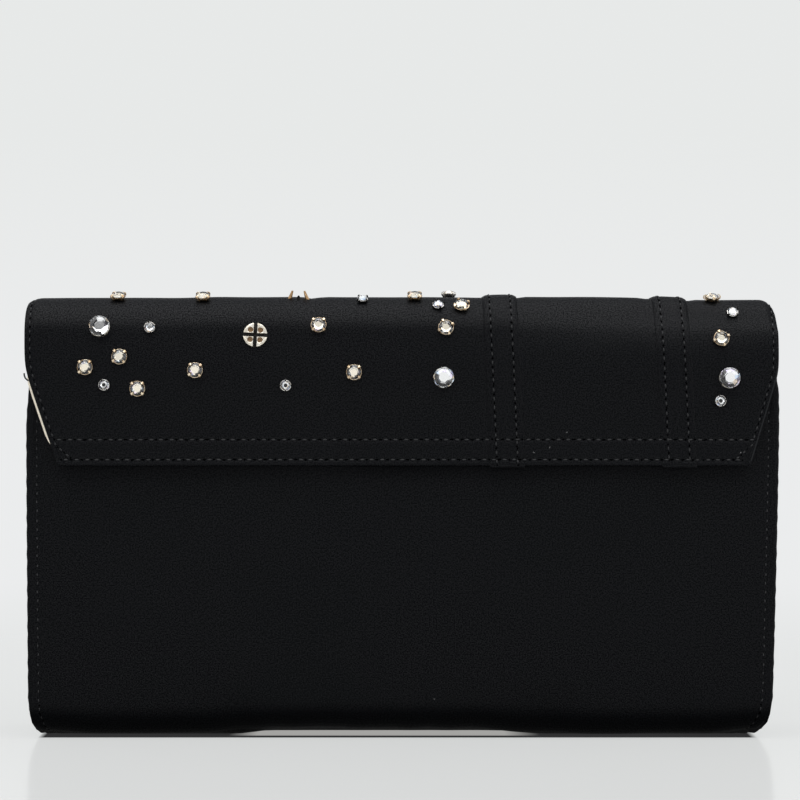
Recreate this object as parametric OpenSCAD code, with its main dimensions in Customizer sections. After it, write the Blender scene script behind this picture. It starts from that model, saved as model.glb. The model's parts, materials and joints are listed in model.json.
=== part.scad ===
// Flap evening bag in black satin, with claw-set crystals, two bands and a magnetic snap.
// Millimetres, +Z up. The front faces -Y. The base rests on z = 0.

/* [Body] */
// Width across the side seams
bag_w = 260; // [230:1:300]
// Height from the floor to the crest of the flap
bag_h = 152; // [140:1:180]
// Depth across the base
base_d = 52; // [46:1:60]
// Depth across the mouth
mouth_d = 30; // [28:1:36]
// Radius of the roll along the bottom edges
base_r = 10; // [8:1:12]
// Radius of the lower corners, seen from the front
corner_r = 10; // [7:1:12]
// Drop from the crest to the seam where the flap joins the back
hinge_drop = 18; // [17:1:24]
// Drop from the crest to the top edge of the front panel
front_drop = 24; // [22:1:30]
// Width of the turned seam along each side
seam_w = 5; // [4:0.5:7]
// Height of the facing inside the mouth
facing_h = 16; // [10:1:24]

/* [Gussets] */
// Depth of the inward fold at the mouth
fold_in = 9; // [5:0.5:12]
// Height where the fold starts
fold_z = 38; // [25:1:60]

/* [Layers] */
// Thickness of the satin
satin_t = 1; // [0.8:0.1:1.3]
// Thickness of the interlining
inter_t = 1; // [0.9:0.1:1.4]
// Thickness of the lining
lining_t = 0.6; // [0.4:0.1:0.9]
// Thickness of the base board
board_t = 1.6; // [1:0.2:2.4]

/* [Pocket] */
// Width of the slip pocket
pocket_w = 130; // [90:1:160]
// Height of the slip pocket
pocket_h = 62; // [45:1:75]
// Drop from the back's top edge to the pocket's
pocket_drop = 28; // [22:1:40]
// Height of the binding on the pocket's top edge
binding_h = 5; // [3:0.5:8]

/* [Flap] */
// Drop from the crest to the hem
flap_drop = 58; // [54:0.2:70]
// Radius of the roll at the crest, front and back
roll_r = 13; // [10:0.5:15]
// Inset of each end of the hem
hem_inset = 10.4; // [6:0.2:16]
// Drop from the crest to where the sides slant in
slant_drop = 26; // [22:0.5:34]
// Radius of the upper corners, seen from the front
top_r = 7; // [4:0.5:10]
// Clearance of the flap's seam at the hinge
hinge_gap = 0.4; // [0.3:0.1:0.8]

/* [Bands] */
// Width of each band
band_w = 12; // [8:0.5:18]
// Thickness of each band
band_t = 0.8; // [0.5:0.1:1.2]
// Lean of the bands to the right, in degrees
band_lean = 2.4; // [0:0.1:5]
// Distance of the left band from the middle, at the hem
left_band_x = 36.4; // [30:0.2:50]
// Distance of the right band from the right side, at the hem
right_band_edge = 34.5; // [26:0.5:45]
// Height of the bands' back ends over the hinge seam
band_start = 6; // [5:0.5:8]

/* [Snap] */
// Diameter of the magnetic snap
snap_d = 14; // [12:0.5:18]
// Height of the snap's centre over the hem
snap_rise = 14; // [12:0.5:18]
// Height of the socket cup
cup_h = 1.9; // [1.7:0.1:2.6]
// Thickness of the stud plate
stud_t = 0.8; // [0.6:0.1:1.2]
// Air between the cup and the stud plate
snap_gap = 0.5; // [0.4:0.1:1]
// Thickness of the backing washers
washer_t = 0.8; // [0.5:0.1:0.9]
// Diameter of the stems that pass through the layers
stem_d = 3.6; // [2.4:0.2:4.4]
// Clearance round stems, washers and the magnet
snap_play = 0.2; // [0.1:0.05:0.4]

/* [Stones] */
// Diameter of the large stones
large_d = 7.2; // [6.6:0.1:7.8]
// Diameter of the medium stones
medium_d = 5; // [4.4:0.1:5.6]
// Diameter of the small stones
small_d = 3.5; // [3:0.1:3.9]
// Diameter of the two large settings that have lost their stone
bare_d = 8.3; // [7.4:0.1:9]
// Wall of the settings
cup_wall = 0.25; // [0.2:0.05:0.4]
// Thickness of the settings' floors
cup_floor = 0.5; // [0.4:0.05:0.8]
// Clearance between a stone and its setting
seat_gap = 0.06; // [0.04:0.01:0.12]
// Height of a large setting
disc_h = 1.2; // [1:0.1:1.6]
// Width of its crossed channels
channel_w = 1.3; // [1:0.1:1.6]
// Width of a medium setting's claws
medium_claw_w = 1.5; // [1.1:0.1:1.8]
// Width of a small setting's claws
small_claw_w = 0.8; // [0.6:0.1:1]
// Length of the claws that stand up without a stone
horn_h = 2.9; // [2.4:0.1:3.4]
// Length of the claws that are pressed down
stub_h = 0.9; // [0.7:0.1:1.2]
// Width of those claws at the foot
horn_d = 1.9; // [1.5:0.1:2.3]
// How far those claws lean inwards, in degrees
horn_lean = 6; // [2:1:12]

/* [Hidden] */
$fn = 64;

satin = [0.08, 0.08, 0.09];
cream = [0.86, 0.80, 0.70];
fleece = [0.75, 0.75, 0.75];
card = [0.72, 0.62, 0.48];
nickel = [0.72, 0.71, 0.68];
gilt = [0.66, 0.50, 0.30];
crystal = [0.88, 0.92, 0.96];

x_edge = bag_w / 2;
x_gusset = x_edge - seam_w;
x_inside = x_gusset - satin_t - lining_t;
back_h = bag_h - hinge_drop;
back_top = back_h - hinge_gap / 2;
pocket_top = back_top - pocket_drop;
flap_start = back_h + hinge_gap / 2;
front_h = bag_h - front_drop;
hem_z = bag_h - flap_drop;
wall_t = satin_t + inter_t + lining_t;
flap_gap = cup_h + snap_gap + stud_t;
lean = atan((base_d - mouth_d) / 2 / back_h);
roll_steps = 20;

// Half depth of the body at height z, on a face that lies inset from the outside.
function wall_y(z, inset) = base_d / 2 - z * tan(lean) - inset / cos(lean);

// Points of an arc in the side view, from one angle to another.
function arc(centre, r, from, to, steps = roll_steps) =
    [for (i = [0 : steps]) let (a = from + (to - from) * i / steps) centre + r * [cos(a), sin(a)]];

function flipped(points) = [for (p = points) [-p[0], p[1]]];
function backward(points) = [for (i = [len(points) - 1 : -1 : 0]) points[i]];

// Side view of the back half of a body layer, from its top edge to the middle of the base.
function half_path(inset, top) = concat(
    [[wall_y(top, inset), top]],
    arc([base_d / 2 - base_r * tan(45 + lean / 2), base_r], base_r - inset, lean, -90));

// Side view of a whole body layer, from the front's top edge round the base to the back's.
function wrap_path(inset, front_top, rear_top) =
    concat(flipped(half_path(inset, front_top)), backward(half_path(inset, rear_top)));

function wrap_layer(outer, inner, front_top, rear_top) =
    concat(wrap_path(outer, front_top, rear_top), backward(wrap_path(inner, front_top, rear_top)));

// Side view of a strip that lies on one wall: side is -1 for the front and 1 for the back.
function wall_strip(side, outer, inner, low, high) = [
    [side * wall_y(low, outer), low], [side * wall_y(high, outer), high],
    [side * wall_y(high, inner), high], [side * wall_y(low, inner), low]];

// Distance of the flap's outside in front of the middle, at height z.
function flap_y(z, inset) = -wall_y(z, inset - flap_gap - wall_t);

roll_z = bag_h - roll_r;
back_roll = [wall_y(roll_z, roll_r), roll_z];
front_roll = [flap_y(roll_z, roll_r), roll_z];
front_arc = roll_r * (90 - lean) * PI / 180;

// Side view of a flap layer, over the crest to the hem. It starts at the hinge seam or on the back roll.
function flap_path(inset, start, end) =
    let (r = roll_r - inset, straight = start < roll_z + r * sin(lean))
    concat(
        straight ? [[wall_y(start, inset), start]] : [],
        arc(back_roll, r, straight ? lean : asin((start - roll_z) / r), 90),
        arc(front_roll, r, 90, 180 - lean),
        [[flap_y(end, inset), end]]);

// Place and slope on the flap, s along its face in front of the crest.
function flap_spot(s) =
    s <= 0 ? [front_roll + [-s, roll_r], 90] :
    s < front_arc ? let (a = 90 + s / roll_r * 180 / PI) [front_roll + roll_r * [cos(a), sin(a)], a] :
    [front_roll + roll_r * [-cos(lean), sin(lean)] - (s - front_arc) * [sin(lean), cos(lean)], 180 - lean];

// Extrudes a side view across the bag, between two places along its width.
module across(from, to) {
    translate([from, 0, 0]) rotate([90, 0, 90]) linear_extrude(to - from) children();
}

// Extrudes a front view right through the bag.
module through() {
    rotate([90, 0, 0]) linear_extrude(4 * base_d, center = true) children();
}

module on_left() {
    mirror([1, 0, 0]) children();
}

// Front view of the body, with rounded lower corners.
module body_outline() {
    translate([-x_edge, corner_r]) square([bag_w, bag_h]);
    translate([corner_r - x_edge, 0]) square([bag_w - 2 * corner_r, 2 * corner_r]);
    for (side = [-1, 1]) translate([side * (x_edge - corner_r), corner_r]) circle(corner_r);
}

// Front view of the flap, drawn in by a margin: slanted sides and rounded upper corners.
module flap_outline(margin) {
    corner = arc([x_edge - top_r, bag_h - top_r], top_r - margin, 0, 90, 10);
    half = concat(
        [[x_edge - hem_inset - margin, hem_z], [x_edge - margin, bag_h - slant_drop]],
        corner, [[x_edge - top_r, bag_h + top_r]]);
    polygon(concat(half, backward(flipped(half))));
}

// Puts a shape on the front panel where the snap is, its Z axis pointing out of the panel.
module at_snap() {
    z = hem_z + snap_rise;
    translate([0, -wall_y(z, 0), z]) rotate([90 - lean, 0, 0]) children();
}

module snap_hole(d, from, to) {
    at_snap() translate([0, 0, from]) cylinder(d = d, h = to - from);
}

stem_hole = stem_d + 2 * snap_play;
washer_d = snap_d - 2;
washer_hole = washer_d + 2 * snap_play;

// Body: satin, interlining and lining, each in one piece from the front round the base to the back.
module body_cover() {
    turn = satin_t + inter_t;
    outside = wrap_path(0, front_h, back_top);
    inside = wrap_path(satin_t, front_h - satin_t, back_top - satin_t);
    color(satin) difference() {
        intersection() {
            across(-x_edge, x_edge) polygon(concat(
                outside,
                [[wall_y(back_top, turn), back_top], [wall_y(back_top - satin_t, turn), back_top - satin_t]],
                backward(inside),
                [[-wall_y(front_h - satin_t, turn), front_h - satin_t], [-wall_y(front_h, turn), front_h]]));
            through() body_outline();
        }
        snap_hole(stem_hole, -2 * satin_t, satin_t);
    }
}

module body_interlining() {
    color(fleece) difference() {
        across(satin_t - x_gusset, x_gusset - satin_t)
            polygon(wrap_layer(satin_t, satin_t + inter_t, front_h - satin_t, back_top - satin_t));
        snap_hole(washer_hole, -2 * wall_t, 0);
    }
}

module body_lining() {
    color(cream) across(-x_inside, x_inside)
        polygon(wrap_layer(satin_t + inter_t, wall_t, front_h - facing_h, back_top - facing_h));
}

module base_board() {
    margin = 2;
    w = 2 * (x_inside - margin);
    d = base_d - 2 * base_r * tan(45 + lean / 2);
    color(card) translate([-w / 2, -d / 2, wall_t]) cube([w, d, board_t]);
}

module front_facing() {
    color(satin) across(-x_inside, x_inside)
        polygon(wall_strip(-1, satin_t + inter_t, wall_t, front_h - facing_h, front_h));
}

module back_facing() {
    color(satin) across(-x_inside, x_inside)
        polygon(wall_strip(1, satin_t + inter_t, wall_t, back_top - facing_h, back_top));
}

tape_t = 0.5;
tape_h = 9;
module seam_tape() {
    color(satin) across(-x_inside, x_inside)
        polygon(wall_strip(1, wall_t, wall_t + tape_t, back_top - tape_h, back_top));
}

module pocket_panel() {
    color(cream) across(-pocket_w / 2, pocket_w / 2)
        polygon(wall_strip(1, wall_t, wall_t + lining_t, pocket_top - pocket_h, pocket_top));
}

module pocket_binding() {
    top = pocket_top;
    color(satin) across(-pocket_w / 2, pocket_w / 2) {
        polygon(wall_strip(1, wall_t + lining_t, wall_t + 2 * lining_t, top - binding_h, top));
        polygon(wall_strip(1, wall_t, wall_t + 2 * lining_t, top, top + lining_t));
    }
}

// Gussets: a side panel with an inward fold, and a rim turned out along the seam.
// The hollow of the fold: a flat triangle on the panel's outer face x, drawn in to a crease.
module fold_hollow(x) {
    half = wall_y(back_h, wall_t + satin_t);
    points = [
        [x, 0, fold_z], [x, -half, back_h], [x, half, back_h],
        [x + 1, 0, fold_z], [x + 1, -half, back_h], [x + 1, half, back_h],
        [x - fold_in, 0, back_h]];
    outward = [[3, 5, 4], [0, 3, 4, 1], [2, 5, 3, 0], [1, 4, 5, 2], [0, 1, 6], [2, 0, 6], [1, 2, 6]];
    polyhedron(points, [for (f = outward) backward(f)]);
}

module folded_panel(x, thick, inset) {
    shape = wrap_path(inset, front_h - satin_t, back_top - satin_t);
    difference() {
        union() {
            across(x - thick, x) polygon(shape);
            intersection() {
                translate([-thick, 0, 0]) fold_hollow(x);
                across(x - thick - fold_in, x) polygon(shape);
            }
        }
        fold_hollow(x);
    }
}

module gusset() {
    color(satin) intersection() {
        union() {
            folded_panel(x_gusset, satin_t, satin_t);
            across(x_gusset, x_edge)
                polygon(wrap_layer(satin_t, 2 * satin_t, front_h - satin_t, back_top - satin_t));
        }
        through() body_outline();
    }
}

module gusset_lining() {
    color(cream) folded_panel(x_gusset - satin_t, lining_t, satin_t + inter_t);
}

module left_gusset() {
    on_left() gusset();
}

module right_gusset() {
    gusset();
}

module left_gusset_lining() {
    on_left() gusset_lining();
}

module right_gusset_lining() {
    gusset_lining();
}

// Flap: satin turned under at the hem, interlining and lining.
module flap_cover() {
    turn = satin_t + inter_t;
    color(satin) intersection() {
        across(-x_edge, x_edge) polygon(concat(
            flap_path(0, flap_start, hem_z),
            [[flap_y(hem_z, turn), hem_z], [flap_y(hem_z + satin_t, turn), hem_z + satin_t]],
            backward(flap_path(satin_t, flap_start, hem_z + satin_t))));
        through() flap_outline(0);
    }
}

module flap_interlining() {
    color(fleece) difference() {
        intersection() {
            across(-x_edge, x_edge) polygon(concat(
                flap_path(satin_t, flap_start, hem_z + satin_t),
                backward(flap_path(satin_t + inter_t, flap_start, hem_z + satin_t))));
            through() flap_outline(satin_t);
        }
        snap_hole(washer_hole, flap_gap, flap_gap + 2 * wall_t);
    }
}

module flap_lining() {
    color(cream) difference() {
        intersection() {
            across(-x_edge, x_edge) polygon(concat(
                flap_path(satin_t + inter_t, flap_start, hem_z),
                backward(flap_path(wall_t, flap_start, hem_z))));
            through() flap_outline(0);
        }
        snap_hole(stem_hole, flap_gap - 1, flap_gap + wall_t);
    }
}

// A band over the flap, its front end turned under the hem. x is its middle at the hem.
module band(x) {
    start = back_h + band_start;
    shift = tan(band_lean) * flap_drop;
    turn_shift = tan(band_lean) * band_t;
    half = band_w / 2;
    color(satin) intersection() {
        across(-x_edge, x_edge) polygon(concat(
            flap_path(-band_t, start, hem_z - band_t),
            [[flap_y(hem_z - band_t, wall_t), hem_z - band_t], [flap_y(hem_z, wall_t), hem_z]],
            backward(flap_path(0, start, hem_z))));
        through() translate([0, hem_z]) polygon([
            [x - half + turn_shift, -band_t], [x + half + turn_shift, -band_t],
            [x + half - shift, flap_drop + band_t], [x - half - shift, flap_drop + band_t]]);
    }
}

module left_band() {
    band(left_band_x);
}

module right_band() {
    band(x_edge - right_band_edge);
}

// Snap: a socket cup with a ring magnet on the front panel, a dished stud plate under the flap.
core_r = stem_d / 2 + 1.4;
cup_skin = 0.5;
dish_r = core_r - 0.3;
dish_h = 0.7;
boss_h = 0.9;

module snap_cup() {
    r = snap_d / 2;
    color(nickel) at_snap() rotate_extrude() polygon([
        [0, -satin_t - washer_t], [stem_d / 2, -satin_t - washer_t], [stem_d / 2, 0], [core_r, 0],
        [core_r, cup_h - cup_skin], [r - cup_skin, cup_h - cup_skin], [r - cup_skin, 0], [r, 0],
        [r, cup_h - cup_skin], [r - cup_skin, cup_h], [dish_r, cup_h],
        [dish_r - dish_h, cup_h - dish_h], [0, cup_h - dish_h]]);
}

module snap_magnet() {
    color(fleece) at_snap() difference() {
        cylinder(r = snap_d / 2 - cup_skin - snap_play, h = cup_h - cup_skin);
        translate([0, 0, -1]) cylinder(r = core_r + snap_play, h = cup_h + 1);
    }
}

module washer(z) {
    at_snap() translate([0, 0, z]) difference() {
        cylinder(d = washer_d, h = washer_t);
        translate([0, 0, -1]) cylinder(d = stem_hole, h = washer_t + 2);
    }
}

module snap_cup_washer() {
    color(nickel) washer(-satin_t - washer_t);
}

module snap_stud() {
    r = snap_d / 2;
    face = flap_gap - stud_t;
    top = flap_gap + lining_t + washer_t;
    boss_r = dish_r - 2 * snap_play;
    color(nickel) at_snap() rotate_extrude() polygon([
        [0, face - boss_h], [boss_r - boss_h, face - boss_h], [boss_r, face], [r - stud_t / 2, face],
        [r, face + stud_t / 2], [r, flap_gap], [stem_d / 2, flap_gap], [stem_d / 2, top], [0, top]]);
}

module snap_stud_washer() {
    color(nickel) washer(flap_gap + lining_t);
}

// Stones: [side, x from that side or from the middle, s along the flap, turn].
left = -1;
middle = 0;
right = 1;
large_spots = [[left, 26, 17.9, 20], [middle, 14.5, 35.5, 15], [right, -17.2, 35.5, 30]];
medium_spots = [
    [left, 21.2, 31.9, 45], [left, 33, 28.3, 40], [left, 39.3, 39.3, 45], [left, 59.1, 33, 40],
    [left, 31.6, 4, 40], [left, 61.1, 5, 45],
    [middle, -28.5, 17.5, 42], [middle, -16.3, 33.7, 45], [middle, 15.3, 18.9, 25], [middle, 20.8, 11, 25],
    [right, -19.8, 22, 20], [right, -21.9, 4, 10], [middle, 4.6, 4.5, 45], [middle, 16.6, -6, 40]];
small_spots = [
    [left, 43.3, 18.2, 10], [left, 27.8, 38, 30], [middle, -39.8, 38.2, 0], [middle, 12.7, 10.5, 20],
    [middle, -13.5, 7.7, 40], [right, -20.3, 43.4, 15], [right, -15.4, 12.1, 45]];
bare_disc_spot = [middle, -50.3, 21.2, -3];
bare_claw_spot = [middle, -35.8, 4, 0];

module at_spot(spot) {
    place = flap_spot(spot[2]);
    translate([spot[0] * x_edge + spot[1], place[0][0], place[0][1]])
        rotate([place[1] - 90, 0, 0]) rotate([0, 0, spot[3]]) children();
}

crown = 0.36;
table = 0.56;
girdle = 0.06;
culet = 0.52;
claw_back = 0.38;
disc_back = 0.26;
medium_tip = 0.78;
small_tip = 0.9;

// A round brilliant of radius r, its girdle's top at z = 0: table, star, kite and girdle facets.
// Behind, slanted facets lead to a flat back at a depth.
module brilliant(r, depth) {
    ring = 0.80;
    ring_z = crown * (1 - ring * cos(22.5)) / (1 - table);
    points = r * concat(
        [for (i = [0 : 7]) [table * cos(45 * i), table * sin(45 * i), crown]],
        [for (i = [0 : 7]) [ring * cos(45 * i + 22.5), ring * sin(45 * i + 22.5), ring_z]],
        [for (i = [0 : 15]) [cos(22.5 * i), sin(22.5 * i), 0]],
        [for (i = [0 : 15]) [cos(22.5 * i), sin(22.5 * i), -girdle]],
        [for (i = [0 : 7]) [culet * cos(45 * i), culet * sin(45 * i), -depth]]);
    stars = [for (i = [0 : 7]) [i, 8 + i, (i + 1) % 8]];
    kites = [for (i = [0 : 7]) [i, 8 + (i + 7) % 8, 16 + 2 * i, 8 + i]];
    rims = [for (i = [0 : 7], j = [0, 1]) [8 + i, 16 + 2 * i + j, 16 + (2 * i + j + 1) % 16]];
    sides = [for (i = [0 : 15]) [16 + i, 32 + i, 32 + (i + 1) % 16, 16 + (i + 1) % 16]];
    firsts = [for (i = [0 : 7]) [32 + 2 * i, 48 + i, 33 + 2 * i]];
    mains = [for (i = [0 : 7]) [48 + i, 48 + (i + 1) % 8, 33 + 2 * i]];
    lasts = [for (i = [0 : 7]) [33 + 2 * i, 48 + (i + 1) % 8, 32 + (2 * i + 2) % 16]];
    back = [[for (i = [7 : -1 : 0]) 48 + i]];
    outward = concat([[for (i = [0 : 7]) i]], stars, kites, rims, sides, firsts, mains, lasts, back);
    polyhedron(points, [for (f = outward) backward(f)]);
}

// Height of the girdle's top for a stone of radius r in claws.
function girdle_z(r) = cup_floor + seat_gap + r * claw_back;

// A round cup with a thin lip at a height, for a stone of radius r.
module cup(r, lip_z) {
    lip_r = r + seat_gap + cup_wall / 2;
    rotate_extrude($fn = 32) polygon([
        [0, 0], [0.66 * r, 0], [lip_r, lip_z], [lip_r - cup_wall, lip_z],
        [0.6 * r, cup_floor], [0, cup_floor]]);
}

// A cup with four claws closed on the stone.
module claw_setting(r, tip, claw_w) {
    z = girdle_z(r);
    lip_z = 0.75 * z;
    rim = r + seat_gap + cup_wall;
    tip_r = tip * r;
    tip_z = z + crown * (r - tip_r) / (1 - table) + seat_gap;
    claw = [
        [0.8 * r, cup_floor], [rim, lip_z], [rim, z + cup_wall], [tip_r, tip_z + cup_wall], [tip_r, tip_z],
        [r + seat_gap, z + seat_gap], [r + seat_gap, lip_z - cup_wall / 2]];
    cup(r, lip_z);
    for (turn = [0 : 90 : 270]) rotate([0, 0, turn]) rotate([90, 0, 0])
        linear_extrude(claw_w, center = true) polygon(claw);
}

// A low plate whose stone is lost: two claws stand up and lean in, two are pressed down.
module bare_setting(r) {
    cylinder(r = r, h = cup_floor);
    for (turn = [0 : 90 : 270]) rotate([0, 0, turn])
        translate([r - 0.4 * horn_d, 0, cup_floor / 2]) rotate([0, -horn_lean, 0])
            cylinder(d1 = horn_d, d2 = 0.42 * horn_d, h = turn % 180 == 0 ? horn_h : stub_h, $fn = 24);
}

// A disc with crossed thread channels and a glue pit in each quarter.
module disc_setting(r) {
    difference() {
        cylinder(r = r, h = disc_h);
        for (turn = [0, 90]) rotate([0, 0, turn])
            translate([-2 * r, -channel_w / 2, cup_floor]) cube([4 * r, channel_w, 2 * disc_h]);
        for (turn = [45 : 90 : 315]) rotate([0, 0, turn])
            translate([0.6 * r, 0, cup_floor]) cylinder(r = 0.24 * r, h = 2 * disc_h);
    }
}

module large_stones() {
    r = large_d / 2;
    color(crystal) for (spot = large_spots) at_spot(spot)
        translate([0, 0, disc_h + disc_back * r]) brilliant(r, disc_back);
}

module large_settings() {
    color(nickel) for (spot = large_spots) at_spot(spot) disc_setting(large_d / 2 - seat_gap);
}

module claw_stones(spots, r) {
    color(crystal) for (spot = spots) at_spot(spot) translate([0, 0, girdle_z(r)]) brilliant(r, claw_back);
}

module medium_stones() {
    claw_stones(medium_spots, medium_d / 2);
}

module medium_settings() {
    color(gilt) for (spot = medium_spots) at_spot(spot) claw_setting(medium_d / 2, medium_tip, medium_claw_w);
}

module small_stones() {
    claw_stones(small_spots, small_d / 2);
}

module small_settings() {
    color(nickel) for (spot = small_spots) at_spot(spot) claw_setting(small_d / 2, small_tip, small_claw_w);
}

module bare_settings() {
    color(gilt) {
        at_spot(bare_disc_spot) disc_setting(bare_d / 2);
        at_spot(bare_claw_spot) bare_setting(bare_d / 2);
    }
}

body_cover();
body_interlining();
body_lining();
base_board();
left_gusset();
right_gusset();
left_gusset_lining();
right_gusset_lining();
front_facing();
back_facing();
seam_tape();
pocket_panel();
pocket_binding();
snap_cup();
snap_magnet();
snap_cup_washer();
flap_cover();
flap_interlining();
flap_lining();
left_band();
right_band();
snap_stud();
snap_stud_washer();
large_stones();
large_settings();
medium_stones();
medium_settings();
small_stones();
small_settings();
bare_settings();
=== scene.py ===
"""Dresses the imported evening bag: satin, lining, bands, stitches, crystals, snap and studio.

Metres in the CAD frame: +X to the right, the front faces -Y, +Z up. Sizes are in millimetres times MM.
"""
import json
import random
from contextlib import contextmanager
from math import atan, cos, degrees, dist, exp, hypot, pi, radians, sin, sqrt, tan

import bmesh
import bpy
from mathutils import Matrix, Vector, noise


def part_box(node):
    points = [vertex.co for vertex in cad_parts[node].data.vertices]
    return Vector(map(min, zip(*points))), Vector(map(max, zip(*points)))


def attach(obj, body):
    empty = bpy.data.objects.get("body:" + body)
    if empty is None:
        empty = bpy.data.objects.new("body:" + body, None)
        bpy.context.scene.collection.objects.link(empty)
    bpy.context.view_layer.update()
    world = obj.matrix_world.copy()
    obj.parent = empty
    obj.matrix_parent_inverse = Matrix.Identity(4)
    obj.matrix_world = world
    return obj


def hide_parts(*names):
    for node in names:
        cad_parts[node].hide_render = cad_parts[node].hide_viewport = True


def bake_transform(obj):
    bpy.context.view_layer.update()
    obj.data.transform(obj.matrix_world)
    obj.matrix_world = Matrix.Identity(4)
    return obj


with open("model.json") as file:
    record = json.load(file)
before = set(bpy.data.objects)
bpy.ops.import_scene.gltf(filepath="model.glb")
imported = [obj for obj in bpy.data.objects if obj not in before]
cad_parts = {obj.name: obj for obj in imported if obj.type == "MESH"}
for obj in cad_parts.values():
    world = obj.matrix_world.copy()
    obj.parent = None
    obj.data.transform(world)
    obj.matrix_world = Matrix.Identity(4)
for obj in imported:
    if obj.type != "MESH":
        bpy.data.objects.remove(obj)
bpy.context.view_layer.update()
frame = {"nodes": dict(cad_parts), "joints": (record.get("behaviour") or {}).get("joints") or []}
chance = random.Random(11)

MM = 0.001
LEFT, RIGHT = -1, 1


def sides(left, right):
    """Lengths for the left and the right side, given in millimetres."""
    return {LEFT: left * MM, RIGHT: right * MM}


def show(obj):
    """Puts a new object into the scene."""
    bpy.context.scene.collection.objects.link(obj)
    return obj


# Camera, level with the upper half of the bag
PHOTO_SIZE = 800
FOCAL_PIXELS = 2919
SENSOR = 36.0
CAMERA_PLACE = (-0.5 * MM, -1026 * MM, 116.4 * MM)
camera_data = bpy.data.cameras.new("camera")
camera_data.sensor_width = SENSOR
camera_data.lens = FOCAL_PIXELS * SENSOR / PHOTO_SIZE
camera = show(bpy.data.objects.new("camera", camera_data))
camera.location = CAMERA_PLACE
camera.rotation_euler = (radians(90), 0, 0)
bpy.context.scene.camera = camera

# Sizes that the CAD is driven by
hinge = Vector(frame["joints"][0]["pos_m"])
HALF_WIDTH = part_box("body_cover")[1].x
BACK_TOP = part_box("body_cover")[1].z
FRONT_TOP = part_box("front_facing")[1].z
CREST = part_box("flap_cover")[1].z
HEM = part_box("flap_cover")[0].z
BASE_DEPTH = 52 * MM
BASE_ROLL = 10 * MM
CREST_ROLL = 13 * MM
FLAP_GAP = 3.2 * MM
SHELL = 2 * MM
LINING = 0.6 * MM
WALL = SHELL + LINING
SATIN = 1 * MM
SEAM = 5 * MM
FACING = 16 * MM
FOLD_IN = 9 * MM
FOLD_START = 38 * MM
BAND_WIDTH = 12 * MM
BAND_THICK = 0.8 * MM
BAND_LEAN = tan(radians(2.4))
BAND_PLACES = {"left_band": 36.4 * MM, "right_band": 95.5 * MM}
LEAN = atan((BASE_DEPTH / 2 - hinge.y) / hinge.z)

# Sizes of the sewing
PITCH = 3.1 * MM
HEM_PITCH = 3.5 * MM
HEM_ROWS = (1.9 * MM, 8.8 * MM)
SIDE_ROW = 1.8 * MM
SEAM_ROW = 3.7 * MM
BAND_ROW = 3.6 * MM
STITCH_LIFT = 0.05 * MM
STITCH_SKEW = 0.08
SEAM_WALK = 0.5 * MM
HEM_STITCH = Matrix.Diagonal((1.15, 1, 0.55, 1))


def clamp(value):
    return min(1.0, max(0.0, value))


def between(first, last, share):
    """A number at a share of the way from one to another."""
    return first + (last - first) * share


def ramp(value, start, reach):
    """Eases from 0 at a start to 1 a reach further on. A negative reach goes the other way."""
    t = clamp((value - start) / reach)
    return t * t * (3 - 2 * t)


def hill(value, middle, reach):
    """A soft hill of height 1 round a middle."""
    return exp(-(((value - middle) / reach) ** 2))


def uneven(*place):
    """A slow, irregular wave between about -1 and 1."""
    return noise.noise(Vector(place))


class SideView:
    """A side view of straight and round stretches, walked by the distance along it."""

    def __init__(self):
        self.stretches = []
        self.length = 0.0

    def add(self, run, place):
        self.stretches.append((self.length, run, place))
        self.length += run

    def straight(self, start, end, facing):
        def place(share):
            return between(start[0], end[0], share), between(start[1], end[1], share), radians(facing)
        self.add(dist(start, end), place)

    def round(self, centre, radius, first, last):
        def place(share):
            angle = radians(between(first, last, share))
            return centre[0] + radius * cos(angle), centre[1] + radius * sin(angle), angle
        self.add(radius * radians(last - first), place)

    def at(self, distance):
        """Place (y, z) and outward angle at a distance from the start."""
        found = self.stretches[0]
        for stretch in self.stretches:
            if distance >= stretch[0]:
                found = stretch
        begin, run, place = found
        return place((distance - begin) / run)


def half_depth(z, inset=0.0):
    """Half depth of the body at height z, on a face that lies inset from the outside."""
    return BASE_DEPTH / 2 - z * tan(LEAN) - inset / cos(LEAN)


# Side view of the body's outside, from the front's top edge round the base to the back's
lean_deg = degrees(LEAN)
base_turn = BASE_DEPTH / 2 - BASE_ROLL * tan(pi / 4 + LEAN / 2)
roll_top = BASE_ROLL * (1 + sin(LEAN))
front_mouth = (-half_depth(FRONT_TOP), FRONT_TOP)
back_mouth = (half_depth(BACK_TOP), BACK_TOP)
body_side = SideView()
body_side.straight(front_mouth, (-half_depth(roll_top), roll_top), 180 - lean_deg)
body_side.round((-base_turn, BASE_ROLL), BASE_ROLL, 180 - lean_deg, 270)
body_side.straight((-base_turn, 0), (base_turn, 0), 270)
body_side.round((base_turn, BASE_ROLL), BASE_ROLL, 270, 360 + lean_deg)
body_side.straight((half_depth(roll_top), roll_top), back_mouth, 360 + lean_deg)

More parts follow.
